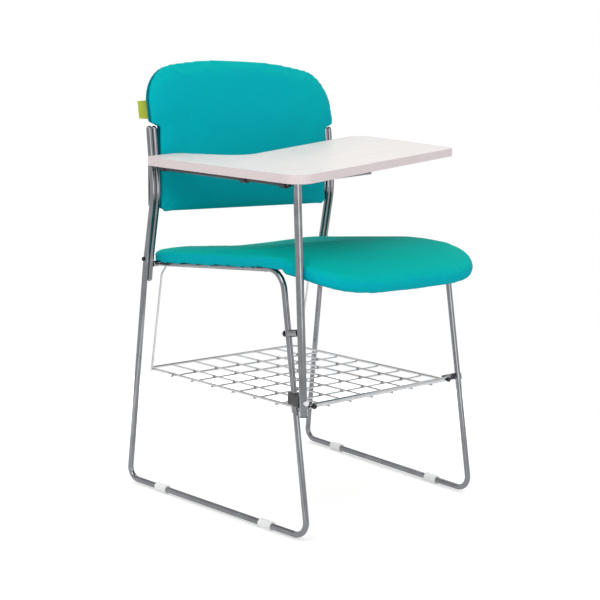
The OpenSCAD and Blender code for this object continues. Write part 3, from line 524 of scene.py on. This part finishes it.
def solid_parts(node):
    """The corner points of each separate lump of a node, as arrays."""
    shape = welded(nodes[node].data)
    seen, parts = set(), []
    for start in shape.verts:
        if start.index in seen:
            continue
        stack, found = [start], []
        seen.add(start.index)
        while stack:
            vert = stack.pop()
            found.append(tuple(vert.co))
            for edge in vert.link_edges:
                other = edge.other_vert(vert)
                if other.index not in seen:
                    seen.add(other.index)
                    stack.append(other)
        parts.append(np.array(found))
    shape.free()
    return sorted(parts, key=lambda p: tuple(p.mean(0).round(4)))


print("strap screws found:", len(solid_parts("strap_screws")))

# %% [markdown]
# ## Fasteners with real drives
# A screw head is a shallow dome with a recess for the driver. The head is a polar grid
# of points: rings from the middle out, and each point's height is the dome's minus the
# recess. A boolean cut would leave ragged faces on so small a part. A cross recess is two
# short bars, a socket is a hexagon. Each measured screw tells where its axis lies and how
# big its head is, and the new one takes its place.

# %% Find a fastener's axis, head and shank
RIM_SHARE = 0.8
UNDER_HEAD = 0.3 * MM


def fastener_facts(points):
    """Head-top centre, outward axis, and the sizes of one lump of points."""
    centre = (points.max(0) + points.min(0)) / 2
    spreads, ways = np.linalg.eigh(np.cov((points - points.mean(0)).T))
    odd = int(np.argmax([abs(s - np.median(spreads)) for s in spreads]))
    axis = ways[:, odd]
    along = (points - centre) @ axis
    side = np.linalg.norm((points - centre) - np.outer(along, axis), axis=1)
    middle = (along.max() + along.min()) / 2
    if side[along > middle].max() < side[along < middle].max():
        axis, along = -axis, -along
    head_radius = side.max()
    in_head = along[side > RIM_SHARE * head_radius]
    top, foot = along.max(), along.min()
    shank_radius = side[along < in_head.min() - UNDER_HEAD].max()
    return {"top": centre + axis * top, "axis": axis, "head_radius": head_radius,
            "head": top - in_head.min(), "length": top - foot, "shank_radius": shank_radius}


facts = fastener_facts(solid_parts("strap_screws")[0])
print("a strap screw: head", round(2 * facts["head_radius"] / MM, 1), "mm across,",
      round(facts["length"] / MM, 1), "mm long")

# %% Shape a fastener's head and shank
ROUND_STEPS = 48
HEAD_RINGS = 18
CROSS_REACH, CROSS_HALF, SOCKET_HALF, RECESS_SLOPE = 0.60, 0.15, 0.46, 0.08
HEX_SLANT = (0.866, 0.5)
# How far the dome falls at its rim and how late, and the recess's depth: what it gains
# towards the middle, and what it has everywhere. All but the second are shares.
DOME = {"cross": (0.55, 2.6), "hex": (0.22, 6)}
RECESS_DEPTH = {"cross": (0.5, 0.1), "hex": (0.0, 0.55)}


def recess(x, y, drive):
    """0 outside the driver's recess, 1 inside; x and y are shares of the head's radius."""
    x, y = abs(x), abs(y)
    if drive == "cross":
        edge = min(max(x - CROSS_REACH, y - CROSS_HALF), max(y - CROSS_REACH, x - CROSS_HALF))
    else:
        edge = max(x * HEX_SLANT[0] + y * HEX_SLANT[1], y) - SOCKET_HALF
    return min(1.0, max(0.0, 0.5 - edge / RECESS_SLOPE))


def fastener_parts(facts, drive):
    """Points and faces of one fastener, at its measured place."""
    axis = Vector(facts["axis"])
    across = axis.orthogonal().normalized()
    other = axis.cross(across)
    top = Vector(facts["top"])
    radius, head = facts["head_radius"], facts["head"]
    (fall, late), (deeper, depth) = DOME[drive], RECESS_DEPTH[drive]
    shank = facts["shank_radius"]
    shares = [ring / HEAD_RINGS for ring in range(HEAD_RINGS + 1)]
    profile = [(share * radius, -head * (fall * share ** late), share) for share in shares]
    profile += [(radius, -head, None), (shank, -head, None), (shank, -facts["length"], None)]
    points, faces = [], []
    for distance, height, share in profile:
        for step in range(ROUND_STEPS):
            angle = 2 * math.pi * step / ROUND_STEPS
            x, y = math.cos(angle) * distance, math.sin(angle) * distance
            level = height
            if share is not None:
                sunk = recess(x / radius, y / radius, drive)
                level -= sunk * head * (deeper * (1 - share) + depth)
            points.append(top + across * x + other * y + axis * level)
    rows = len(profile)
    for row in range(rows - 1):
        for step in range(ROUND_STEPS):
            a = row * ROUND_STEPS + step
            b = row * ROUND_STEPS + (step + 1) % ROUND_STEPS
            faces.append([a, a + ROUND_STEPS, b + ROUND_STEPS, b])
    end = (rows - 1) * ROUND_STEPS
    faces.append([end + step for step in range(ROUND_STEPS)])
    return points, faces


def rebuild_fasteners(node, body, drive):
    parts = [fastener_parts(fastener_facts(p), drive) for p in solid_parts(node)]
    piece = new_piece(node + "_detailed", join_meshes(node, parts), slot_of[node], body)
    turn_outward(piece.data)
    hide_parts(node)
    return piece


for node, body, drive in (("strap_screws", "frame", "cross"), ("seat_screws", "frame", "cross"),
                          ("bush_screws", "tablet", "cross"), ("rod_bolts", "frame", "hex")):
    made = rebuild_fasteners(node, body, drive)
    print(made.name, len(made.data.polygons), "faces")

# %% [markdown]
# ## Weld beads
# Where a cross rod meets a side frame the real chair has a bead of weld that was plated
# over with the rest. A plain torus would look like a rubber ring. A bead is a ring round
# the rod's end whose thickness ripples, because the weld is laid down drop by drop.

# %% Beads where the cross rods end
BEAD_STEPS = 56
BEAD_SIDES = 12
BEAD_THICKNESS = 1.5 * MM
BEAD_DROPS, DROP_SHARE = 17, 0.16
BEAD_LUMPS, LUMP_SHARE, LUMP_TURN = 3, 0.10, 0.7
BEAD_OUT, BEAD_FLAT = 0.15, 0.8


def bead_parts(centre, rod_radius):
    """A rippled ring round a rod that runs along X."""
    axis = Vector((1, 0, 0))
    across = axis.orthogonal().normalized()
    other = axis.cross(across)
    points, faces = [], []
    for step in range(BEAD_STEPS):
        angle = 2 * math.pi * step / BEAD_STEPS
        outward = across * math.cos(angle) + other * math.sin(angle)
        drop = (1 + DROP_SHARE * math.cos(BEAD_DROPS * angle)
                + LUMP_SHARE * math.sin(BEAD_LUMPS * angle + LUMP_TURN))
        for side in range(BEAD_SIDES):
            turn = 2 * math.pi * side / BEAD_SIDES
            reach = (rod_radius + BEAD_THICKNESS * BEAD_OUT
                     + BEAD_THICKNESS * drop * BEAD_FLAT * math.cos(turn))
            rise = BEAD_THICKNESS * drop * math.sin(turn)
            points.append(Vector(centre) + outward * reach + axis * rise)
            nxt, up = (step + 1) % BEAD_STEPS, (side + 1) % BEAD_SIDES
            faces.append([step * BEAD_SIDES + side, nxt * BEAD_SIDES + side,
                          nxt * BEAD_SIDES + up, step * BEAD_SIDES + up])
    return points, faces


bead_list = []
for node in ("front_cross_rod", "rear_cross_rod"):
    low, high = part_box(node)
    middle = (low + high) / 2
    rod_radius = (high.z - low.z) / 2
    for x in (low.x, high.x):
        bead_list.append(bead_parts((x, middle.y, middle.z), rod_radius))
new_piece("cross_rod_weld_beads", join_meshes("beads", bead_list), "chrome_rod", "frame")
print("weld beads:", len(bead_list))

# %% [markdown]
# ## Weld spots of the basket
# Where two wires cross they are pressed together and welded by a current, which leaves a
# small swelling. It could be a mark in the wire's finish, but a mark doesn't thicken the
# crossing. Each spot is a ball of a few rings, a little taller than wide because it wraps
# both wires, at the place where a lengthwise wire passes a cross wire.

# %% Swell each crossing of the wires
SPOT_RADIUS = 3.2 * MM
SPOT_TALL = 1.15
SPOT_RINGS, SPOT_SIDES = 6, 12
SPOT_LUMPS, SPOT_UNEVEN, SPOT_TURN = 3, 0.10, 90


def spot_parts(centre):
    """A small uneven ball; its lumps turn with its place, so that the spots differ."""
    radius = SPOT_RADIUS
    points, faces = [Vector(centre) + Vector((0, 0, radius * SPOT_TALL))], []
    for ring in range(1, SPOT_RINGS):
        tilt = math.pi * ring / SPOT_RINGS
        for side in range(SPOT_SIDES):
            turn = 2 * math.pi * side / SPOT_SIDES
            uneven = 1 + SPOT_UNEVEN * math.cos(SPOT_LUMPS * turn + centre[0] * SPOT_TURN)
            points.append(Vector(centre) + Vector((
                math.sin(tilt) * math.cos(turn) * radius * uneven,
                math.sin(tilt) * math.sin(turn) * radius * uneven,
                math.cos(tilt) * radius * SPOT_TALL)))
    points.append(Vector(centre) - Vector((0, 0, radius * SPOT_TALL)))
    last = len(points) - 1
    for side in range(SPOT_SIDES):
        nxt = (side + 1) % SPOT_SIDES
        faces.append([0, 1 + side, 1 + nxt])
        faces.append([last, last - SPOT_SIDES + nxt, last - SPOT_SIDES + side])
        for ring in range(SPOT_RINGS - 2):
            a, b = 1 + ring * SPOT_SIDES, 1 + (ring + 1) * SPOT_SIDES
            faces.append([a + side, b + side, b + nxt, a + nxt])
    return points, faces


spot_list = []
for long_wire in solid_parts("basket_long_wires"):
    for cross_wire in solid_parts("basket_cross_wires"):
        x, y = long_wire[:, 0].mean(), (cross_wire[:, 1].max() + cross_wire[:, 1].min()) / 2
        if (long_wire[:, 1].min() < y < long_wire[:, 1].max()
                and cross_wire[:, 0].min() < x < cross_wire[:, 0].max()):
            fit = np.polyfit(long_wire[:, 1], long_wire[:, 2], 1)
            z = (np.polyval(fit, y) + cross_wire[:, 2].mean()) / 2
            spot_list.append(spot_parts((x, y, z)))
# The spots wear the rods' darker chrome, not the wires' paler one: a painted shade at the
# crossings.
new_piece("basket_weld_spots", join_meshes("spots", spot_list), "chrome_rod", "frame")
print("weld spots on the basket:", len(spot_list))

# %% [markdown]
# ## Soft pads
# A pad is foam under a stretched cover. The measured pad gives its outline and crown, but
# its faces are long slivers that can't bend. Subdividing slivers gives smaller slivers,
# so a voxel remesh gives each pad a new skin of small even faces.

# %% Give a soft node an even skin
VOXEL = 3.0 * MM


def coordinates(mesh, what="co"):
    """Each point's place, or its outward direction when asked for "normal"."""
    flat = np.empty(len(mesh.vertices) * 3, np.float32)
    mesh.vertices.foreach_get(what, flat)
    return flat.reshape(-1, 3).astype(float)


def place_points(mesh, points):
    mesh.vertices.foreach_set("co", points.astype(np.float32).ravel())
    mesh.update()


def settle_modifiers(obj):
    """Applies what the modifiers give, without an operator."""
    graph = bpy.context.evaluated_depsgraph_get()
    graph.update()
    result = bpy.data.meshes.new_from_object(obj.evaluated_get(graph))
    obj.modifiers.clear()
    obj.data = result


def even_skin(node, name):
    obj = node_copy(node, name)
    even = obj.modifiers.new("even faces", "REMESH")
    even.mode = "VOXEL"
    even.voxel_size = VOXEL
    settle_modifiers(obj)
    return obj


seat_pad = even_skin("seat_cushion", "seat_upholstery")
back_pad = even_skin("back_cushion", "back_upholstery")
print("seat skin", len(seat_pad.data.polygons), "faces; back skin", len(back_pad.data.polygons))

# %% [markdown]
# ## The cover is held, softened and swollen
# Where the cover lies on its board it is stapled and can't swell, so each point's distance
# from the board says how free it is. A few rounds of smoothing round the rims, as foam
# does, and many more calm the back's broad face. Then Blender's cloth, with pressure
# inside, finds where a stretched cover gives most. Inflating along the normals would
# swell every place alike. How far a point may go is capped, so the pad keeps its measured
# size.

# %% Hold what lies on the boards and blow up the rest
HELD_WITHIN, SEAT_FREE_FROM, BACK_FREE_FROM = 1.5 * MM, 12 * MM, 9 * MM
SOFT_ROUNDS, CALM_ROUNDS = 8, 260
CALM_FROM, CALM_FULL, FACES_FRONT = 1 * MM, 15 * MM, 0.35
SEAT_CAP, BACK_CAP = 2.5 * MM, 2.0 * MM
PRESSURE, SWELL_FRAMES = 4.0, 16
QUITE_FREE, NO_LENGTH = 0.999, 1e-9


def smooth_step(value, low, high):
    share = np.clip((value - low) / (high - low), 0, 1)
    return share * share * (3 - 2 * share)


def freedom(points, held_nodes, near, far):
    """0 where a point lies on one of the held nodes, rising to 1 away from them."""
    nearest = np.full(len(points), 1.0)
    for node in held_nodes:
        shape = welded(nodes[node].data)
        tree = BVHTree.FromBMesh(shape)
        for i, point in enumerate(points):
            hit = tree.find_nearest(Vector(point), far)
            if hit[3] is not None:
                nearest[i] = min(nearest[i], hit[3])
        shape.free()
    return smooth_step(nearest, near, far)


def soften(obj, free, rounds):
    """Evens out the free skin; what is held stays."""
    group = obj.vertex_groups.new(name="free")
    for i, share in enumerate(free):
        group.add([i], float(share), "REPLACE")
    soft = obj.modifiers.new("soft rims", "SMOOTH")
    soft.factor = 0.5
    soft.iterations = rounds
    soft.vertex_group = "free"
    settle_modifiers(obj)
    obj.vertex_groups.clear()


def blow_up(obj, free, cap):
    """Runs cloth with pressure, then keeps a capped share of how far each point went."""
    rest = coordinates(obj.data)
    held = obj.vertex_groups.new(name="held")
    for i, share in enumerate(free):
        if share < QUITE_FREE:
            held.add([i], float(1 - share), "REPLACE")
    cover = obj.modifiers.new("cover", "CLOTH")
    settings = cover.settings
    settings.quality = 4
    settings.mass = 0.4
    settings.tension_stiffness = 20
    settings.compression_stiffness = 20
    settings.shear_stiffness = 8
    settings.bending_stiffness = 1.0
    settings.use_pressure = True
    settings.uniform_pressure_force = PRESSURE
    settings.effector_weights.gravity = 0
    settings.vertex_group_mass = "held"
    cover.collision_settings.use_collision = False
    scene = bpy.context.scene
    for number in range(1, SWELL_FRAMES + 1):
        scene.frame_set(number)
    graph = bpy.context.evaluated_depsgraph_get()
    swollen = obj.evaluated_get(graph).to_mesh()
    moved = coordinates(swollen) - rest
    obj.modifiers.clear()
    scene.frame_set(1)
    reach = np.linalg.norm(moved, axis=1)
    limit = cap * np.tanh(reach / cap) / np.maximum(reach, NO_LENGTH)
    place_points(obj.data, rest + moved * (limit * free)[:, None])
    return reach.max()


def broad_face(obj, front):
    """1 on the face that looks along front, falling to 0 towards its rim."""
    points, outward = coordinates(obj.data), coordinates(obj.data, "normal")
    facing = outward @ np.array(front)
    rim = np.flatnonzero(facing < FACES_FRONT)
    tree = KDTree(len(rim))
    for i in rim:
        tree.insert(points[i], int(i))
    tree.balance()
    away = np.array([tree.find(p)[2] if f >= FACES_FRONT else 0.0
                     for p, f in zip(points, facing)])
    return smooth_step(away, CALM_FROM, CALM_FULL)


seat_free = freedom(coordinates(seat_pad.data), ["seat_board"], HELD_WITHIN, SEAT_FREE_FROM)
back_free = freedom(coordinates(back_pad.data), ["back_board", "back_cover"],
                    HELD_WITHIN, BACK_FREE_FROM)
soften(seat_pad, seat_free, SOFT_ROUNDS)
soften(back_pad, np.ones(len(back_free)), SOFT_ROUNDS)
soften(back_pad, broad_face(back_pad, (0, -1, 0)), CALM_ROUNDS)
print("pads softened:", SOFT_ROUNDS, "rounds, and", CALM_ROUNDS, "on the back's broad face")
for pad, free, cap in ((seat_pad, seat_free, SEAT_CAP), (back_pad, back_free, BACK_CAP)):
    went = blow_up(pad, free, cap)
    print(pad.name, "moved up to", round(went / MM, 1), "mm, kept to", round(cap / MM, 1))

# %% [markdown]
# ## Gathers at the pads' corners
# A cover pulled round a corner has more cloth than it needs, so it gathers in small
# folds near the rim, deepest at the corners. A bump would show them only on the face.
# They are ripples of the mesh itself, so they show in the outline too.

# %% Ripple the cover near the corners
FOLDS = 90
SEAT_FOLD, BACK_FOLD = 0.5 * MM, 0.35 * MM
CORNER_FROM, CORNER_FULL = 0.62, 0.95
SIDE_FROM, SIDE_FULL = 0.35, 0.9


def gather(obj, node, free, axes, toward, depth):
    """Ripples along the rim: deep at the outline's corners, fading towards the crown."""
    points, outward = coordinates(obj.data), coordinates(obj.data, "normal")
    low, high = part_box(node)
    middle, half = (low + high) / 2, (high - low) / 2
    u, v = ((points[:, axis] - middle[axis]) / half[axis] for axis in axes)
    corner = smooth_step(np.minimum(np.abs(u), np.abs(v)), CORNER_FROM, CORNER_FULL)
    angle = np.arctan2(v, u)
    side_face = 1 - np.abs(outward @ np.array(toward))
    ripple = np.sin(angle * FOLDS) * 0.6 + np.sin(angle * FOLDS * 1.7 + 1.3) * 0.4
    shift = ripple * corner * smooth_step(side_face, SIDE_FROM, SIDE_FULL) * free * depth
    place_points(obj.data, points + outward * shift[:, None])
    return float(np.abs(shift).max())


seat_fold = gather(seat_pad, "seat_cushion", seat_free, (0, 1), (0, 0, 1), SEAT_FOLD)
back_fold = gather(back_pad, "back_cushion", back_free, (0, 2), (0, 1, 0), BACK_FOLD)
print("gathers up to", round(seat_fold / MM, 2), "and", round(back_fold / MM, 2), "mm")

# %% [markdown]
# ## Back to the measured reach
# Smoothing draws a rim in by a millimetre or two. A Shrinkwrap onto the solid would bring
# its crisp rims back, so each pad is only stretched to the width and length that the
# measured pad has.

# %% Bring the pads back to their measured reach


def refit(obj, node, axes):
    points = coordinates(obj.data)
    low, high = (np.array(corner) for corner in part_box(node))
    grown = []
    for axis in axes:
        least, most = points[:, axis].min(), points[:, axis].max()
        share = (points[:, axis] - least) / (most - least)
        grown.append((high[axis] - low[axis]) - (most - least))
        points[:, axis] = low[axis] + share * (high[axis] - low[axis])
    place_points(obj.data, points)
    return [round(g / MM, 2) for g in grown]


print("seat grew", refit(seat_pad, "seat_cushion", (0, 1)), "mm in width and length")
print("back grew", refit(back_pad, "back_cushion", (0, 2)), "mm in width and height")

# %% Finish the two pads
for pad, node, fill in ((seat_pad, "seat_cushion", 0.8), (back_pad, "back_cushion", 0.85)):
    wear_finish(pad, "teal_fabric")
    pad.data.shade_smooth()
    pad.vertex_groups.clear()
    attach(pad, "frame")
    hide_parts(node)
print("pads declared:", seat_pad.name, back_pad.name)

# %% [markdown]
# ## The cloth panel behind the back
# Behind the board a thinner panel of the same cloth closes the back. It is drawn tight, so
# it needs no simulation: it keeps its measured shape, and its cut edges are rolled over,
# so they catch light as a soft line. A bevel wants whole edges, so flat faces are joined
# first.

# %% Roll the panel's edges
FLAT_ANGLE, EDGE_ANGLE = math.radians(0.5), math.radians(40)
ROLL_WIDTH, ROLL_SEGMENTS = 0.8 * MM, 3

panel = node_copy("back_cover", "back_cloth_panel", FLAT_ANGLE)
rolled = panel.modifiers.new("rolled edge", "BEVEL")
rolled.width = ROLL_WIDTH
rolled.segments = ROLL_SEGMENTS
rolled.limit_method = "ANGLE"
rolled.angle_limit = EDGE_ANGLE
settle_modifiers(panel)
shade_to_edges(panel.data)
# The panel wears the same cloth painted darker, a painted shade.
wear_finish(panel, "teal_cover")
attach(panel, "frame")
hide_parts("back_cover")
print("panel faces:", len(panel.data.polygons))

# %% [markdown]
# ## Cloth turned over the boards' rims
# The cover of a pad is pulled round its board and stapled behind. From outside that is a
# thin band of cloth on the board's rim. The band follows the board's own outer edge: its
# cross-section is swept along that loop, out over the rim and in under the board. A
# thickened copy of the rim's faces would end in a square lip.

# %% Find a board's outer edges and turn the cloth over them
BROAD_FACE = 0.7


def outer_edge(node, side):
    """The longest closed loop where a board's face that looks along side meets its rim."""
    shape = welded(nodes[node].data)
    way = Vector(side).normalized()
    near = {}
    for edge in shape.edges:
        if len(edge.link_faces) != 2:
            continue
        broad = [face.normal.dot(way) > BROAD_FACE for face in edge.link_faces]
        if broad[0] != broad[1]:
            a, b = edge.verts
            near.setdefault(a.index, []).append(b.index)
            near.setdefault(b.index, []).append(a.index)
    places = {v.index: np.array(v.co) for v in shape.verts}
    shape.free()
    seen, loops = set(), []
    for start in sorted(near):
        if start in seen:
            continue
        loop, here = [], start
        while here is not None:
            seen.add(here)
            loop.append(places[here])
            here = next((n for n in near[here] if n not in seen), None)
        loops.append(np.array(loop))
    return max(loops, key=lambda p: np.linalg.norm(np.roll(p, -1, 0) - p, axis=1).sum())


def closer(loop, step):
    """The loop with points added along its long stretches; its corners stay."""
    points = []
    for start, end in zip(loop, np.roll(loop, -1, 0)):
        count = max(1, math.ceil(np.linalg.norm(end - start) / step))
        points += [start + (end - start) * i / count for i in range(count)]
    return np.array(points)


HEM_STEP = 4 * MM
HEM_SIDE = 0.5 * MM
HEM_UNDER = 0.2 * MM
HEM_LIES = 0.05 * MM
HEM_TURN, HEM_ROUND_OUT, HEM_ROUND_IN = 0.3 * MM, 0.7, 0.6
SEAT_TURN_IN, BACK_TURN_IN = 20 * MM, 4 * MM
SEAT_BOARD_TILT = math.radians(5.94)


def hem(name, node, inner_side, finish, turn_in):
    """A band round a board's rim; inner_side points from the board's pad to its back."""
    back_edge = closer(outer_edge(node, inner_side), HEM_STEP)
    pad_edge = closer(outer_edge(node, [-v for v in inner_side]), HEM_STEP / 4)
    gaps = np.linalg.norm(back_edge[:, None] - pad_edge[None], axis=2)
    through = back_edge - pad_edge[gaps.argmin(1)]
    thick = np.linalg.norm(through, axis=1)
    through /= thick[:, None]
    along = np.roll(back_edge, -1, 0) - np.roll(back_edge, 1, 0)
    out = np.cross(along, through)
    out /= np.linalg.norm(out, axis=1)[:, None]
    if ((back_edge - back_edge.mean(0)) * out).sum() < 0:
        out = -out
    # Each corner: how far out, what share of the board's thickness up, and how far beyond
    profile = [(HEM_LIES, 1, 0), (HEM_SIDE, 1, 0), (HEM_SIDE, 0, HEM_TURN),
               (HEM_SIDE * HEM_ROUND_OUT, 0, -HEM_UNDER * HEM_ROUND_IN), (0, 0, -HEM_UNDER),
               (-turn_in, 0, -HEM_UNDER), (-turn_in, 0, -HEM_LIES), (HEM_LIES, 0, -HEM_LIES)]
    points = [p + o * u - w * (share * t + v)
              for p, o, w, t in zip(back_edge, out, through, thick) for u, share, v in profile]
    rows, count = len(profile), len(back_edge)
    faces = [[i * rows + k, i * rows + (k + 1) % rows, (i + 1) % count * rows + (k + 1) % rows,
              (i + 1) % count * rows + k] for i in range(count) for k in range(rows)]
    made = new_piece(name, mesh_from(name, points, faces), finish, "frame")
    turn_outward(made.data)
    return made, float(np.median(thick))


under_seat = (0, -math.sin(SEAT_BOARD_TILT), -math.cos(SEAT_BOARD_TILT))
for made, thick in (hem("seat_hem", "seat_board", under_seat, "teal_fabric", SEAT_TURN_IN),
                    hem("back_hem", "back_board", (0, 1, 0), "teal_cover", BACK_TURN_IN)):
    print(made.name, len(made.data.polygons), "faces, board", round(thick / MM, 1), "mm thick")

# %% [markdown]
# ## The ribbon tag
# The tag is a short loop of woven tape caught in the side seam. A flat box would show no
# fold. A loop is one strip that runs out, turns and comes back, so it is a bent ribbon
# with a round fold at its outer end. It narrows, waves and sags a little towards it.

# %% Bend the ribbon into a loop
tag_low, tag_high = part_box("side_tag")
TAPE = 0.45 * MM
LOOP_GAP = 1.1 * MM
LEAN_LESS = 2.4 * MM
TAG_TAPER, TAG_SAG, TAG_WAVE = 0.10, 0.9 * MM, 0.35 * MM
LOOP_STEPS = 40
WIDTH_STEPS = 14


def loop_line(share, reach, gap):
    """A point of the loop's cross-section: out along -X, round the end, and back."""
    straight = reach - gap
    arc = math.pi * gap
    total = 2 * straight + arc
    run = share * total
    if run < straight:
        return -run, -gap, (0, -1)
    if run > straight + arc:
        return -(total - run), gap, (0, 1)
    turn = (run - straight) / gap
    return (-straight - gap * math.sin(turn), -gap * math.cos(turn),
            (-math.sin(turn), -math.cos(turn)))


def ribbon_loop():
    """Points of the outer and inner skin, and faces: skins, long edges, then the ends."""
    reach = tag_high.x - tag_low.x
    height = tag_high.z - tag_low.z
    middle_y = (tag_low.y + tag_high.y) / 2
    slope = (tag_high.y - tag_low.y - LEAN_LESS) / height
    outer, inner = [], []
    for step in range(LOOP_STEPS + 1):
        x, y, way = loop_line(step / LOOP_STEPS, reach, LOOP_GAP)
        out_share = -x / reach
        for row in range(WIDTH_STEPS + 1):
            up = row / WIDTH_STEPS
            flare = (up - 0.5) * height * (1 - TAG_TAPER * out_share)
            z = (tag_low.z + tag_high.z) / 2 + flare - TAG_SAG * out_share * (1 - up)
            lean = (up - 0.5) * height * slope
            wave = TAG_WAVE * math.sin(up * math.pi * 2) * out_share
            base = Vector((tag_high.x + x, middle_y + y + lean + wave, z))
            outer.append(base)
            inner.append(base - Vector((way[0], way[1], 0)) * TAPE)
    points = outer + inner
    rows, count = WIDTH_STEPS + 1, len(outer)
    faces = []
    for step in range(LOOP_STEPS):
        for row in range(WIDTH_STEPS):
            a, b = step * rows + row, (step + 1) * rows + row
            faces.append([a, b, b + 1, a + 1])
            faces.append([count + a, count + a + 1, count + b + 1, count + b])
    for step in range(LOOP_STEPS):
        a, b = step * rows, (step + 1) * rows
        faces.append([a, count + a, count + b, b])
        a, b = a + WIDTH_STEPS, b + WIDTH_STEPS
        faces.append([a, b, count + b, count + a])
    last = LOOP_STEPS * rows
    for row in range(WIDTH_STEPS):
        faces.append([row, row + 1, count + row + 1, count + row])
        faces.append([last + row, count + last + row, count + last + row + 1, last + row + 1])
    return points, faces


tag = new_piece("ribbon_tag", mesh_from("ribbon_tag", *ribbon_loop()), "lime_tag", "frame")
turn_outward(tag.data)
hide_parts("side_tag")
print("ribbon tag:", len(tag.data.polygons), "faces")

# %% [markdown]
# ## The floor
# The picture shows the chair on plain white. A white floor that only reflects light
# would look grey, so the floor also glows, faintly under the chair and fully at its rim,
# where it meets the white backdrop. Its shadows stay. Stronger lamps would whiten it too,
# but would wash out the chair.

# %% Lay a pale floor
FLOOR_RADIUS, FLOOR_CORNERS, FLOOR_DROP = 1.0, 96, 0.0002
FLOOR_GREY, WHITE = (0.80, 0.80, 0.80, 1), (1, 1, 1, 1)
GLOW_MIDDLE, GLOW_RIM = 0.35, 1.0
GLOW_STARTS, GLOW_FULL = 0.45, 0.95


def looked_at(tree):
    """1 for rays of the camera and those that metal and glass send on, else 0."""
    rays = add(tree, "LightPath").outputs
    seen = rays["Is Camera Ray"]
    for kind in ("Is Glossy Ray", "Is Transmission Ray"):
        seen = add(tree, "Math", {0: seen, 1: rays[kind]}, operation="MAXIMUM").outputs[0]
    return seen


bpy.ops.mesh.primitive_circle_add(vertices=FLOOR_CORNERS, radius=FLOOR_RADIUS,
                                  fill_type="NGON", location=(0, 0, -FLOOR_DROP))
floor = bpy.context.object
floor.name = "studio_floor"
floor_finish = bpy.data.materials.new("floor_white")
floor_finish.use_nodes = True
floor_tree = floor_finish.node_tree
floor_tree.nodes.clear()
seen = looked_at(floor_tree)
spot = add(floor_tree, "NewGeometry").outputs["Position"]
away = add(floor_tree, "VectorMath", {0: spot}, operation="LENGTH").outputs["Value"]
rising = spread(floor_tree, away, GLOW_MIDDLE, GLOW_RIM, GLOW_STARTS, GLOW_FULL)
glow = add(floor_tree, "Math", {0: seen, 1: rising}, operation="MULTIPLY")
matt = add(floor_tree, "BsdfDiffuse", {"Color": FLOOR_GREY})
light_up = add(floor_tree, "Emission", {"Color": WHITE, "Strength": glow.outputs[0]})
both = add(floor_tree, "AddShader", {0: matt.outputs[0], 1: light_up.outputs[0]})
add(floor_tree, "OutputMaterial", {"Surface": both.outputs[0]})
floor.data.materials.append(floor_finish)
print("floor of radius", FLOOR_RADIUS)

# %% [markdown]
# ## The backdrop
# The backdrop is white all round and below, with a greyer ceiling. The camera, metal and
# glass all see that same backdrop, so a bright rod shows the room that the picture shows.
# A photographed room could light the chair, but its windows would show in the metal. The
# light that spreads to cloth and boards comes from an even, weaker white.

# %% Surround it with one pale backdrop
AMBIENT = 0.75
CEILING_STARTS, CEILING_FULL = math.sin(math.radians(35)), math.sin(math.radians(65))
CEILING_GREY = (0.25, 0.255, 0.265)
world = bpy.data.worlds.new("studio")
bpy.context.scene.world = world
world.use_nodes = True
sky = world.node_tree
sky.nodes.clear()
way = add(sky, "TexCoord").outputs["Generated"]
height = add(sky, "SeparateXYZ", {"Vector": way}).outputs["Z"]
up_there = spread(sky, height, 0.0, 1.0, CEILING_STARTS, CEILING_FULL)
backdrop = tint(sky, up_there, WHITE[:3], CEILING_GREY)
even = add(sky, "Background", {"Color": WHITE, "Strength": AMBIENT})
shown = add(sky, "Background", {"Color": backdrop, "Strength": 1.0})
chosen = add(sky, "MixShader", {0: looked_at(sky), 1: even.outputs[0], 2: shown.outputs[0]})
add(sky, "OutputWorld", {"Surface": chosen.outputs[0]})
print("one backdrop for camera, metal and glass; ambient", AMBIENT)

# %% [markdown]
# ## Three soft lamps
# An even backdrop alone leaves the pads flat, and small lamps would throw hard shadows
# that the picture doesn't have. So the lamps are squares more than a metre wide: a key
# from the left, a fill low in front, and one from behind and above for the pads' tops.

# %% Hang the soft lamps
LAMP_AIM = Vector((0, 0, 0.4))


def soft_lamp(name, azimuth, elevation, distance, size, power):
    """A square lamp that looks at the middle of the chair."""
    a, e = math.radians(azimuth), math.radians(elevation)
    back = Vector((math.sin(a) * math.cos(e), -math.cos(a) * math.cos(e), math.sin(e)))
    data = bpy.data.lights.new(name, "AREA")
    data.shape = "SQUARE"
    data.size = size
    data.energy = power
    lamp = link(bpy.data.objects.new(name, data))
    lamp.location = LAMP_AIM + back * distance
    lamp.rotation_mode = "QUATERNION"
    lamp.rotation_quaternion = back.to_track_quat("Z", "Y")


soft_lamp("key_lamp", azimuth=-68, elevation=42, distance=3.0, size=1.5, power=26)
soft_lamp("fill_lamp", azimuth=-20, elevation=14, distance=3.2, size=1.8, power=20)
soft_lamp("top_lamp", azimuth=150, elevation=62, distance=2.8, size=1.6, power=21)
print("three soft lamps")

# %% [markdown]
# ## Plain colours
# The view keeps plain colours.

# %% Keep plain colours
bpy.context.scene.view_settings.view_transform = "Standard"
